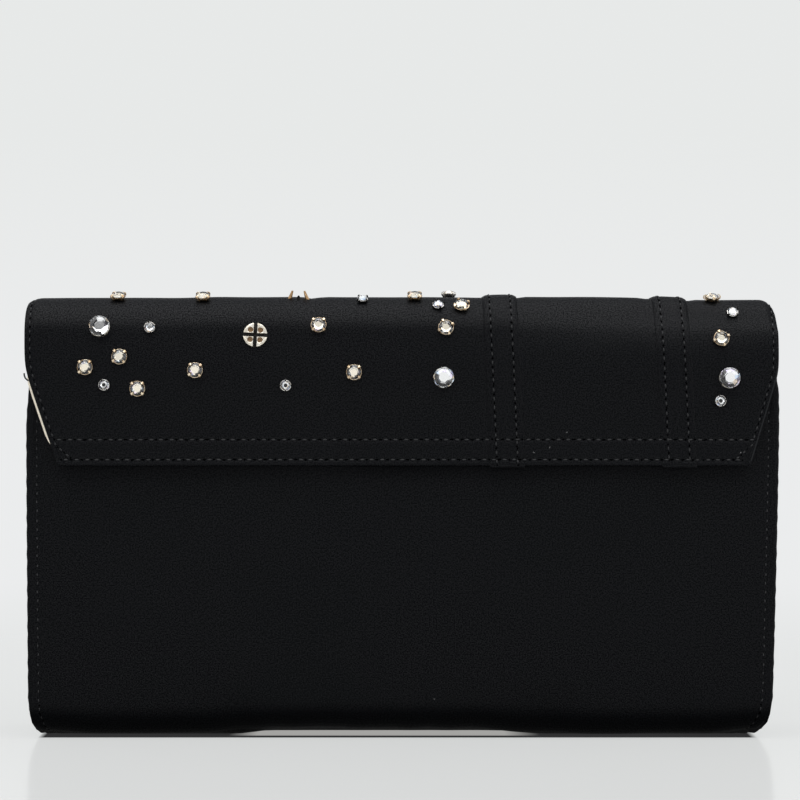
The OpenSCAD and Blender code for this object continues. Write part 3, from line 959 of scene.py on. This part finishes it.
def band_surface(name, height=0.0):
    """A band laid over the flap: u across it from its middle, v along the flap."""
    def place(u, v):
        x = band_middle(name, v) + u
        return flap_surface(band_rise(u, v) + height)(x / flap_share(x, v), v)
    return place


def covered_flap(u, v):
    """The flap with its bands on."""
    x = u * flap_share(u, v)
    rise = 0.0
    for name in BAND_PLACES:
        across = x - band_middle(name, v)
        if abs(across) < BAND_WIDTH / 2:
            rise = band_rise(across, v)
    return flap_surface(rise)(u, v)


def make_band(name, label):
    """A stitched strap whose lower end is turned under the hem."""
    end = HEM_END + BAND_THICK
    half = BAND_WIDTH / 2
    start = 4.5 * MM

    def place(u, v):
        if v <= end:
            return band_surface(name, -0.15 * MM * hill(abs(u), BAND_ROW, 0.8 * MM))(u, v)
        return band_surface(name, end - v)(u, end)
    columns = steps(-half, half, 2 * MM, -BAND_ROW, BAND_ROW)
    rows = steps(start, end, 1.5 * MM, *(HEM_END - row for row in HEM_ROWS))
    rows += [end + past * MM for past in (0.8, 1.6, 2.4, 3.2)]
    settle(cloth(label, columns, rows, place, 0.75 * MM, 0.25 * MM), satin, "satin", None, name)


# Stitches: one is modelled, then copied along every seam
def stitch_model():
    """A thread that arches between two needle holes."""
    lying = (0, radians(90), 0)
    model = added("cylinder", "stitch", vertices=6, radius=0.25 * MM, depth=0.7 * MM, rotation=lying)
    for reach, share in ((0.5 * MM, 0.92), (0.45 * MM, 0.5)):
        with editing("DESELECT"):
            bpy.ops.mesh.select_mode(type="FACE")
        for face in model.data.polygons:
            face.select = abs(face.normal.x) > 0.9
        with editing():
            bpy.ops.mesh.extrude_faces_move(TRANSFORM_OT_shrink_fatten={"value": -reach})
            bpy.ops.transform.resize(value=(1, share, share))
    for vertex in model.data.vertices:
        vertex.co.z -= 0.5 * MM * (vertex.co.x / (1.3 * MM)) ** 2
    paint(model, thread)
    holes = []
    for x in (-1.4 * MM, 1.4 * MM):
        spot = (x, 0, -0.05 * MM)
        hole = added(
            "cone", "needle_hole", vertices=6, radius1=0.34 * MM, radius2=0.22 * MM, depth=0.16 * MM,
            location=spot)
        paint(hole, painted_hole_shade)
        holes.append(hole)
    return joined(model, holes, 80)


def make_stitches():
    """Rows of stitches, each piece with its surface, its lines of (u, v), pitch, lift and body."""
    model = stitch_model()
    flap, body = flap_surface(), body_surface()
    edge = HALF_WIDTH - SIDE_ROW
    row = HALF_WIDTH - SEAM_ROW
    low = HEM_END - HEM_ROWS[0]
    hems = [[(-edge, HEM_END - v), (edge, HEM_END - v)] for v in HEM_ROWS]
    turn_in = edge - 4.5 * MM
    slants = [[(x * edge, 3 * MM), (x * edge, low - 5 * MM), (x * turn_in, low)] for x in (LEFT, RIGHT)]
    bands = [[(x, 6 * MM), (x, HEM_END - 0.3 * MM)] for x in (-BAND_ROW, BAND_ROW)]
    seams = [[(x * row, 2 * MM), (x * row, BODY_END - 2 * MM)] for x in (LEFT, RIGHT)]
    mouths = [[(-row, v), (row, v)] for v in (BODY_END - 2.6 * MM, 2.6 * MM)]
    pieces = (
        ("HemStitches", covered_flap, hems, HEM_PITCH, 0.1 * MM, None),
        ("FlapSideStitches", flap, slants, PITCH, STITCH_LIFT, None),
        ("LeftBandStitches", band_surface("left_band", -0.05 * MM), bands, PITCH, STITCH_LIFT, None),
        ("RightBandStitches", band_surface("right_band", -0.05 * MM), bands, PITCH, STITCH_LIFT, None),
        ("BodySideStitches", body, seams, PITCH, -0.06 * MM, "bag_body"),
        ("MouthStitches", body, mouths, PITCH, STITCH_LIFT, "bag_body"))
    for name, surface, lines, pitch, lift, ride in pieces:
        shape = HEM_STITCH if name == "HemStitches" else Matrix.Identity(4)
        places = [place @ shape for line in lines for place in seam(surface, line, pitch, lift)]
        settle(scatter(name, model, places), None, "satin", ride)
    make_loose_ends(model)
    discard(model)


# Loose ends: a curl of thread at the left slant, a painted highlight on the right slant's edge, and lint over
# the hem
CURL = ((-1.25, 1.3), (-1.2, 0.5), (-0.9, -0.3), (-0.4, -0.9), (0.3, -1.3))
CURL_RADIUS = 0.3 * MM
HIGHLIGHT_RADIUS = 0.3 * MM
HIGHLIGHT_IN = Vector((-0.3 * MM, 0.15 * MM, 0))
LINT_SPOTS = ((56.8, 11.3, 20), (50.9, 6.1, 70), (45.4, 4.4, -30), (93.1, 9.6, 10), (116.5, 4.4, 50))
LINT_SIZE = Matrix.Diagonal((0.16, 0.5, 0.5, 1))


def tube(name, points, radius):
    """A thin round cord through points that lie in a plane facing the front."""
    front = Vector((0, -1, 0))

    def place(u, v):
        i = min(int(v), len(points) - 2)
        spot = points[i].lerp(points[i + 1], v - i)
        side = (points[i + 1] - points[i]).normalized().cross(front)
        return spot + radius * (front * cos(u) + side * sin(u))
    around = [radians(60 * i) for i in range(7)]
    cord = cloth(name, around, [i / 2 for i in range(2 * len(points) - 1)], place)
    with editing("SELECT"):
        bpy.ops.mesh.remove_doubles(threshold=0.01 * MM)
        bpy.ops.mesh.normals_make_consistent(inside=False)
    return cord


def make_loose_ends(model):
    """The curl and the lint have their places in millimetres, the lint as x, height over the hem and turn."""
    flap = flap_surface()
    start = flap(-HALF_WIDTH, HEM_END - (SLANT_TOP[LEFT] - 3.2 * MM - HEM) / cos(LEAN))
    curl = tube("LooseThread", [start + Vector((x * MM, 0, z * MM)) for x, z in CURL], CURL_RADIUS)
    settle(curl, thread, "satin", "flap")
    # The pale cord along the right slant's edge is a painted highlight, where light catches the turned edge.
    slant = steps(HEM_END - (SLANT_TOP[RIGHT] + 1 * MM - HEM) / cos(LEAN), HEM_END - 1.5 * MM, 2 * MM)
    highlight_cord = tube("RubbedEdge", [flap(HALF_WIDTH, v) + HIGHLIGHT_IN for v in slant], HIGHLIGHT_RADIUS)
    settle(highlight_cord, painted_edge_highlight, "satin", "flap")
    specks = [on_flap(x, HEM_END - height * MM, turn, 0.1 * MM) @ LINT_SIZE for x, height, turn in LINT_SPOTS]
    settle(scatter("Lint", model, specks), pale_lint, "lining", "flap")


# Stones and their settings. A spot is x from the middle, the distance in front of the crest, and a turn
LARGE, MEDIUM, SMALL, BARE = 3.6 * MM, 2.5 * MM, 1.75 * MM, 4.15 * MM
LARGE_SPOTS = ((-104, 17.9, 20), (14.5, 35.5, 15), (112.8, 35.5, 30))
MEDIUM_SPOTS = (
    (-108.8, 31.9, 45), (-97, 28.3, 40), (-90.7, 39.3, 45), (-70.9, 33, 40), (-98.4, 4, 40), (-68.9, 5, 45),
    (-28.5, 17.5, 42), (-16.3, 33.7, 45), (15.3, 18.3, 25), (20.8, 9.8, 25), (110.2, 22, 20), (108.1, 2, 10),
    (4.6, 4.5, 45), (16.6, -6, 40))
SMALL_SPOTS = (
    (-86.7, 18.2, 10), (-102.2, 38, 30), (-39.8, 38.2, 0), (12.7, 9.6, 20), (-13.5, 6.5, 40),
    (109.7, 43.4, 15), (114.6, 10.2, 45))
BARE_DISC_SPOT = (-50.3, 20.8, -3)
BARE_CLAW_SPOT = (-35.8, 4, 0)
SMALL_PAINTED_SHADE = (1, 2, 5)
DULL_MEDIUM = 13
LARGE_PAINTED_SHADE_SIDE = Vector((-0.75, 0, -0.66))
MEDIUM_PAINTED_SHADE_SIDE = Vector((0.85, 0, -0.53))
PAINTED_SHADE_FACET = (0.03, 0.03, 0.033)
# Blue, violet and orange facets are painted fire: the colours that light splits into in a cut stone.
PAINTED_FIRE_TINTS = ((0.5, 0.7, 1.0), (0.75, 0.62, 1.0), (1.0, 0.72, 0.42))
FIRE_SHARE = 0.15
WARM_WHITE, COOL_WHITE = (1.0, 0.96, 0.87), (0.98, 0.99, 1.0)
CROWN, TABLE, GIRDLE, CULET, BACK = 0.36, 0.56, 0.06, 0.52, 0.38
CROWN_RING = 0.8
LARGE_BACK, LARGE_CULET = 0.26, 0.8
CLAW_TIP = {MEDIUM: 0.8, SMALL: 0.95}
CLAW_WIDTH = {MEDIUM: 1.0 * MM, SMALL: 0.5 * MM}
CUP_FLOOR, CUP_WALL, SEAT_GAP = 0.5 * MM, 0.25 * MM, 0.06 * MM
DISC_HEIGHT, CHANNEL = 1.2 * MM, 1.3 * MM
PIT_RADIUS, PIT_OUT = 0.23, 0.58
HORN, HORN_HEIGHT, STUB_HEIGHT, HORN_LEAN = 1.5 * MM, 3.3 * MM, 1.0 * MM, 18
BARE_SHAPE = Matrix.Translation((0, 0, -0.75 * MM)) @ Matrix.Diagonal((1, 0.5, 1, 1))
CLEAR, SILVERED, SHADE_PAINTED = 0, 1, 2


def turned(angle, axis="Z"):
    """A turn by an angle in degrees."""
    return Matrix.Rotation(radians(angle), 4, axis)


def on_flap(x, v, turn, lift=0.0):
    """A place on the flap: x from the middle in millimetres, v along the flap, and a turn in degrees."""
    u = x * MM / flap_share(x, v)
    return upright(flap_surface(), u, v, (1, 0), lift) @ turned(turn)


def strew(name, model, spots, shape):
    """Copies of a model on the flap's spots."""
    places = [on_flap(x, CREST_FRONT + below * MM, turn) @ shape for x, below, turn in spots]
    return scatter(name, model, places)


def brilliant(radius, depth, culet):
    """A round brilliant with its girdle's top at z = 0, clear in front, with a flat silvered back."""
    model = added("circle", "brilliant", vertices=16, radius=radius)
    half_step = pi / 8
    ring_z = CROWN * (1 - CROWN_RING * cos(half_step)) / (1 - TABLE)
    rings = (
        (8, TABLE, CROWN, 0), (8, CROWN_RING, ring_z, half_step), (16, 1, -GIRDLE, 0), (8, culet, -depth, 0))
    with editing():
        for count, share, z, turn in rings:
            bpy.ops.mesh.primitive_circle_add(
                vertices=count, radius=share * radius, location=(0, 0, z * radius), rotation=(0, 0, turn))
        bpy.ops.mesh.select_all(action="SELECT")
        bpy.ops.mesh.convex_hull(join_triangles=False)
        bpy.ops.mesh.select_all(action="SELECT")
        bpy.ops.mesh.dissolve_limited(angle_limit=radians(1))
    paint(model, crystal, foil)
    for face in model.data.polygons:
        face.material_index = SILVERED if face.normal.z < 0.05 else CLEAR
    return model


def paint_fire_and_shade(stones, radius):
    """A tint for each small facet: mostly white, a few blue, violet or orange as painted fire. Table and back
    stay pale.

    The silvered facets are dimmer, and on medium stones in front those on one side are painted almost black,
    as painted shade.
    """
    pale = WARM_WHITE if radius == MEDIUM else COOL_WHITE
    fire = stones.data.attributes.new("fire", "FLOAT_COLOR", "FACE")
    for face, spot in zip(stones.data.polygons, fire.data):
        small = face.area < 0.3 * radius ** 2
        tint = chance.choice(PAINTED_FIRE_TINTS) if small and chance.random() < FIRE_SHARE else pale
        if face.material_index == SILVERED:
            tint = [0.35 + 0.5 * part for part in tint]
            aside = Vector((face.normal.x, 0, face.normal.z)).normalized()
            in_front = small and radius == MEDIUM and face.normal.y > 0.6
            # Painted shade: silvered facets on one side of medium stones are almost black.
            if in_front and aside.dot(MEDIUM_PAINTED_SHADE_SIDE) > 0.3:
                tint = PAINTED_SHADE_FACET
        spot.color = (*tint, 1.0)


def paint_shade_on_backs(stones, count, which, border, side=None):
    """Painted shade on some flat backs: in the middle, or along one side of their border."""
    paint(stones, tarnish_and_painted_shade)
    work = bmesh.new()
    work.from_mesh(stones.data)
    work.faces.ensure_lookup_table()
    backs = []
    for stone in which:
        facets = work.faces[stone * count:(stone + 1) * count]
        foiled = [face for face in facets if face.material_index == SILVERED]
        backs.append(max(foiled, key=lambda face: face.calc_area()))
    for back in backs:
        middle = back.calc_center_median()
        ring = bmesh.ops.inset_individual(work, faces=[back], thickness=border)["faces"]
        if not side:
            back.material_index = SHADE_PAINTED
            continue
        for face in ring:
            if (face.calc_center_median() - middle).normalized().dot(side) > 0:
                face.material_index = SHADE_PAINTED
    work.to_mesh(stones.data)
    work.free()


def girdle_height(radius):
    """Height of the girdle's top over the cloth, for a stone in claws."""
    return CUP_FLOOR + SEAT_GAP + radius * BACK


def cup_model(radius, lip_z, metal):
    """A round cup with a thin lip."""
    rim = radius + SEAT_GAP + CUP_WALL
    mouth = rim - CUP_WALL / 2
    model = added(
        "cone", "cup_setting", vertices=32, radius1=0.66 * radius, radius2=mouth, depth=lip_z,
        location=(0, 0, lip_z / 2))
    for face in model.data.polygons:
        face.select = face.normal.z > 0.9
    with editing():
        bpy.ops.mesh.select_mode(type="FACE")
        bpy.ops.mesh.inset(thickness=CUP_WALL)
        bpy.ops.mesh.extrude_region_move(TRANSFORM_OT_translate={"value": (0, 0, CUP_FLOOR - lip_z)})
        floor_share = 0.6 * radius / (rim - 1.5 * CUP_WALL)
        bpy.ops.transform.resize(value=(floor_share, floor_share, 1))
    round_edges(model, 0.07 * MM)
    paint(model, metal)
    return model


def claw_model(radius, metal, claw_metal):
    """A round cup with four claws closed on a stone."""
    grip = girdle_height(radius)
    rim = radius + SEAT_GAP + CUP_WALL
    tip = CLAW_TIP[radius] * radius
    tip_z = grip + CROWN * (radius - tip) / (1 - TABLE) + CUP_WALL
    line = (
        (0.72 * radius, 0.1 * MM), (rim, 0.7 * grip), (rim + 0.05 * MM, grip),
        (0.97 * rim, grip + 0.13 * radius), (0.86 * rim, (2 * grip + 3 * tip_z) / 5), (tip, tip_z))

    def place(u, v):
        along = v * (len(line) - 1)
        i = min(int(along), len(line) - 2)
        out, up = (between(first, last, along - i) for first, last in zip(line[i], line[i + 1]))
        return Vector((out, u * CLAW_WIDTH[radius] * (1 - 0.4 * ramp(v, 0.3, 0.7)), up))
    rows = [i / 10 for i in range(11)]
    claw = cloth("claw", (-0.5, -0.17, 0.17, 0.5), rows, place, CUP_WALL, 0.08 * MM)
    paint(claw, claw_metal)
    claws = scatter("claws", claw, [turned(90 * i) for i in range(4)])
    discard(claw)
    return joined(cup_model(radius, 0.75 * grip, metal), [claws])


def bare_model(radius):
    """A low plate, dark as painted shade, whose claws stand free: two stand up and lean in, two are pressed
    down.
    """
    stand = Matrix.Translation((radius - 0.72 * HORN, 0, CUP_FLOOR / 2)) @ turned(-HORN_LEAN, "Y")
    horns = []
    for i, (height, metal) in enumerate(2 * ((HORN_HEIGHT, brown_gilt), (STUB_HEIGHT, tarnish_and_painted_shade))):
        horn = added(
            "cone", "horn", vertices=12, radius1=HORN / 2, radius2=0.21 * HORN, depth=height,
            location=(0, 0, height / 2))
        horn.data.transform(turned(90 * i) @ stand)
        paint(horn, metal)
        horns.append(horn)
    middle = (0, 0, CUP_FLOOR / 2)
    plate = added("cylinder", "bare_setting", vertices=32, radius=radius, depth=CUP_FLOOR, location=middle)
    round_edges(plate, 0.12 * MM)
    paint(plate, tarnish_and_painted_shade)
    return joined(plate, horns)


def disc_model(radius):
    """A disc with crossed thread channels and a glue pit in each quarter."""
    model = added(
        "cylinder", "disc_setting", vertices=48, radius=radius, depth=DISC_HEIGHT,
        location=(0, 0, DISC_HEIGHT / 2))
    above = CUP_FLOOR + DISC_HEIGHT
    cutters = []
    for size in ((3 * radius, CHANNEL), (CHANNEL, 3 * radius)):
        bar = (*size, 2 * DISC_HEIGHT)
        cutters.append(added("cube", "channel", size=1, location=(0, 0, above), scale=bar))
    for turn in (45, 135, 225, 315):
        angle = radians(turn)
        spot = (PIT_OUT * radius * cos(angle), PIT_OUT * radius * sin(angle), above)
        cutters.append(added(
            "cylinder", "pit", vertices=24, radius=PIT_RADIUS * radius, depth=2 * DISC_HEIGHT, location=spot))
    for cutter in cutters:
        harden(model, "BOOLEAN", object=cutter, operation="DIFFERENCE", solver="EXACT")
        discard(cutter)
    round_edges(model, 0.14 * MM)
    shade(model, 35)
    paint(model, worn_plate, tarnish_and_painted_shade, glue)
    for face in model.data.polygons:
        in_channel = min(abs(face.center.x), abs(face.center.y)) < 0.55 * CHANNEL
        if face.center.z < CUP_FLOOR + 0.25 * MM and face.normal.z > 0.5:
            face.material_index = 1 if in_channel else 2
    return model


def make_stones():
    large_rise = DISC_HEIGHT + SEAT_GAP + LARGE_BACK * LARGE
    sizes = (
        ("LargeStones", "large_stones", LARGE, LARGE_SPOTS, large_rise, LARGE_BACK, LARGE_CULET),
        ("MediumStones", "medium_stones", MEDIUM, MEDIUM_SPOTS, girdle_height(MEDIUM), BACK, CULET),
        ("SmallStones", "small_stones", SMALL, SMALL_SPOTS, girdle_height(SMALL), BACK, CULET))
    for name, node, radius, spots, height, depth, culet in sizes:
        model = brilliant(radius, depth, culet)
        stones = strew(name, model, spots, Matrix.Translation((0, 0, height)))
        count = len(model.data.polygons)
        # Painted shade: dark middles on some small stones' backs, and a dark crescent along one side of each
        # large stone's back.
        if radius == SMALL:
            paint_shade_on_backs(stones, count, SMALL_PAINTED_SHADE, 0.12 * SMALL)
        if radius == LARGE:
            paint_shade_on_backs(stones, count, range(len(spots)), 0.32 * LARGE, LARGE_PAINTED_SHADE_SIDE)
        discard(model)
        paint_fire_and_shade(stones, radius)
        settle(stones, None, "crystal", "flap", node)


def make_settings():
    kinds = (
        ("MediumSettings", "medium_settings", claw_model(MEDIUM, gilt, gilt), MEDIUM_SPOTS, "gilt"),
        ("SmallSettings", "small_settings", claw_model(SMALL, nickel, tarnish_and_painted_shade), SMALL_SPOTS, "nickel"),
        ("BareClaws", "bare_settings", bare_model(BARE), (BARE_CLAW_SPOT,), "gilt"),
        ("LargeDiscs", "large_settings", disc_model(LARGE - SEAT_GAP), LARGE_SPOTS, "nickel"),
        ("BareDisc", "bare_settings", disc_model(BARE), (BARE_DISC_SPOT,), "nickel"))
    for name, node, model, spots, slot in kinds:
        made = strew(name, model, spots, BARE_SHAPE if name == "BareClaws" else Matrix.Identity(4))
        if name == "MediumSettings":
            count = len(model.data.polygons)
            paint(made, nickel)
            for face in made.data.polygons[DULL_MEDIUM * count:(DULL_MEDIUM + 1) * count]:
                face.material_index = 1
        discard(model)
        settle(made, None, slot, "flap", node)


def finish_snap():
    """The snap keeps its CAD shapes and gets its metals."""
    for node in ("snap_cup", "snap_cup_washer", "snap_stud", "snap_stud_washer", "snap_magnet"):
        mesh = frame["nodes"][node].data
        mesh.materials.clear()
        mesh.materials.append(magnet if node == "snap_magnet" else nickel)


# Studio
FLOOR_REACH = 12.0
PALE = (0.80, 0.815, 0.81)
PALE_LOW = (0.83, 0.84, 0.845)
FLOOR_TONE = (0.66, 0.665, 0.665)
FLOOR_DIM = (0.3, 0.3, 0.3)
FLOOR_SHINE = 0.15
# Painted shade on the floor under the bag, for the camera: a dark band along the base, and a paler grey strip
# where the front edge's middle is lifted.
BASE_SHADE = (0.03, 0.03, 0.031)
GAP_PAINTED_SHADE = (0.37, 0.366, 0.355)
SHADE_REACH = ((-0.1255, -0.1235), (0.1205, 0.1225), (0.0185, 0.0202))
GAP_SHADE_REACH = ((-0.06, -0.05), (0.036, 0.048), (0.0125, 0.0142))
ROOM = (0.72, 0.722, 0.728)
ROOM_LOW = (0.39, 0.4, 0.425)
ROOM_HIGH = (2.5, 2.53, 2.6)
CEILING_AIM = (0, -0.12, 0.993)
TENT = (0.86, 0.86, 0.84)
TENT_DARK = (0.03, 0.03, 0.032)
TENT_GAPS = ((-0.36, -0.83, 0.42), (0.44, -0.85, 0.28))
LAMP_TARGET = Vector((0, 0, 0.09))
LAMPS = (
    ("overhead_box", (0.05, -0.3, 1.05), 1.6, 0.9, 4.6), ("crest_box", (0.05, 0.2, 1.1), 1.6, 0.9, 0.5),
    ("upper_box", (0, -0.78, 1.0), 1.5, 0.5, 3), ("front_box", (0, -1.5, 0.42), 1.3, 0.8, 0.6),
    ("left_box", (-1.2, -0.3, 0.6), 1.3, 1.0, 4), ("right_box", (1.25, -0.4, 0.4), 1.3, 0.8, 4.5),
    ("back_box", (0, 1.4, 0.6), 1.3, 0.8, 1.2))


def make_floor():
    """A pale polished sheet that fades into the background, mirrors the bag and has painted shade under its
    base.
    """
    floor = added("grid", "StudioFloor", x_subdivisions=4, y_subdivisions=4, size=2 * FLOOR_REACH)
    look = Look("studio_floor", 0.6, Specular_IOR_Level=0.0)
    tree = look.tree
    seen = Signal(add_node(tree, "LightPath"), "Is Camera Ray")
    spot = look.coordinates("Object")
    far = spot.length()
    across, behind = spot.parts()[:2]
    depth = abs(behind)
    look.give(Base_Color=seen.mix(FLOOR_DIM, FLOOR_TONE))
    # Seen by the bag, the floor glows as painted bounce light, made dimmer near the base as a painted shadow.
    beyond = (abs(across) - HALF_WIDTH).math("MAXIMUM", depth - BASE_DEPTH / 2)
    glow_with_painted_shadow = seen + (1.0 - seen) * beyond.ranged(0.005, 0.06, 0.18, 1.4)
    glow = add_node(tree, "Emission", far.ranged(0.2, 0.8).mix(PALE, PALE_LOW), glow_with_painted_shadow)
    sheet = add_node(tree, "MixShader", far.ranged(0.16, 0.55, 0.8, 1.0), look.shader, glow)
    mirror = add_node(tree, "BsdfGlossy", Roughness=0.16)
    shine = seen * far.ranged(0.3, 0.9, FLOOR_SHINE, 0.0)
    polished = add_node(tree, "MixShader", shine, sheet, mirror)
    # Painted shade under the base: a dark band, paler grey in the gap under the lifted front edge, shown to
    # the camera.
    under, gap = (
        across.ranged(*left) * across.ranged(*right, 1.0, 0.0) * depth.ranged(*front, 1.0, 0.0)
        for left, right, front in (SHADE_REACH, GAP_SHADE_REACH))
    shaded = add_node(tree, "Emission", gap.mix(BASE_SHADE, GAP_PAINTED_SHADE))
    based = add_node(tree, "MixShader", under * seen, polished, shaded)
    feed(tree.nodes["Material Output"].inputs["Surface"], based)
    paint(floor, look.material)


def make_world():
    """A pale backdrop for the camera, a room with a bright ceiling, and a white tent seen in the stones."""
    world = bpy.data.worlds.new("studio")
    bpy.context.scene.world = world
    world.use_nodes = True
    tree = world.node_tree
    path = add_node(tree, "LightPath")
    glossy = Signal(path, "Is Glossy Ray")
    direction = Signal(add_node(tree, "TexCoord"), "Generated")
    _, back, up = direction.parts()
    gaps = [direction.towards(aim).ranged(0.945, 0.965) for aim in TENT_GAPS]
    tent_tone = gaps[0].math("MAXIMUM", gaps[1]).mix(TENT, TENT_DARK)
    shine_tone = direction.towards(CEILING_AIM).ranged(0.6, 1.0).mix(ROOM_LOW, ROOM_HIGH)
    room_tone = glossy.mix(ROOM, shine_tone)
    room = tree.nodes["Background"]
    feed(room.inputs["Color"], Signal(path, "Is Transmission Ray").mix(room_tone, tent_tone))
    pale = add_node(tree, "Background", up.ranged(0.01, 0.09).mix(PALE_LOW, PALE))
    mirrored = glossy * (up.ranged(0.12, 0.3, 1.0, 0.0) * back.ranged(0.6, 0.85))
    backdrop = Signal(path, "Is Camera Ray").math("MAXIMUM", mirrored)
    feed(tree.nodes["World Output"].inputs["Surface"], add_node(tree, "MixShader", backdrop, room, pale))


def make_lamps():
    """Rectangular lamps, all turned towards the bag."""
    for name, place, width, height, power in LAMPS:
        data = bpy.data.lights.new(name, "AREA")
        data.shape = "RECTANGLE"
        data.size = width
        data.size_y = height
        data.energy = power
        lamp = show(bpy.data.objects.new(name, data))
        lamp.location = place
        lamp.rotation_euler = (LAMP_TARGET - Vector(place)).to_track_quat("-Z", "Y").to_euler()


make_body()
make_gusset(LEFT, "Left")
make_gusset(RIGHT, "Right")
make_pocket()
make_base_board()
make_flap()
make_band("left_band", "LeftBand")
make_band("right_band", "RightBand")
make_stitches()
make_stones()
make_settings()
finish_snap()
make_floor()
make_world()
make_lamps()

bpy.context.scene.view_settings.view_transform = "Standard"
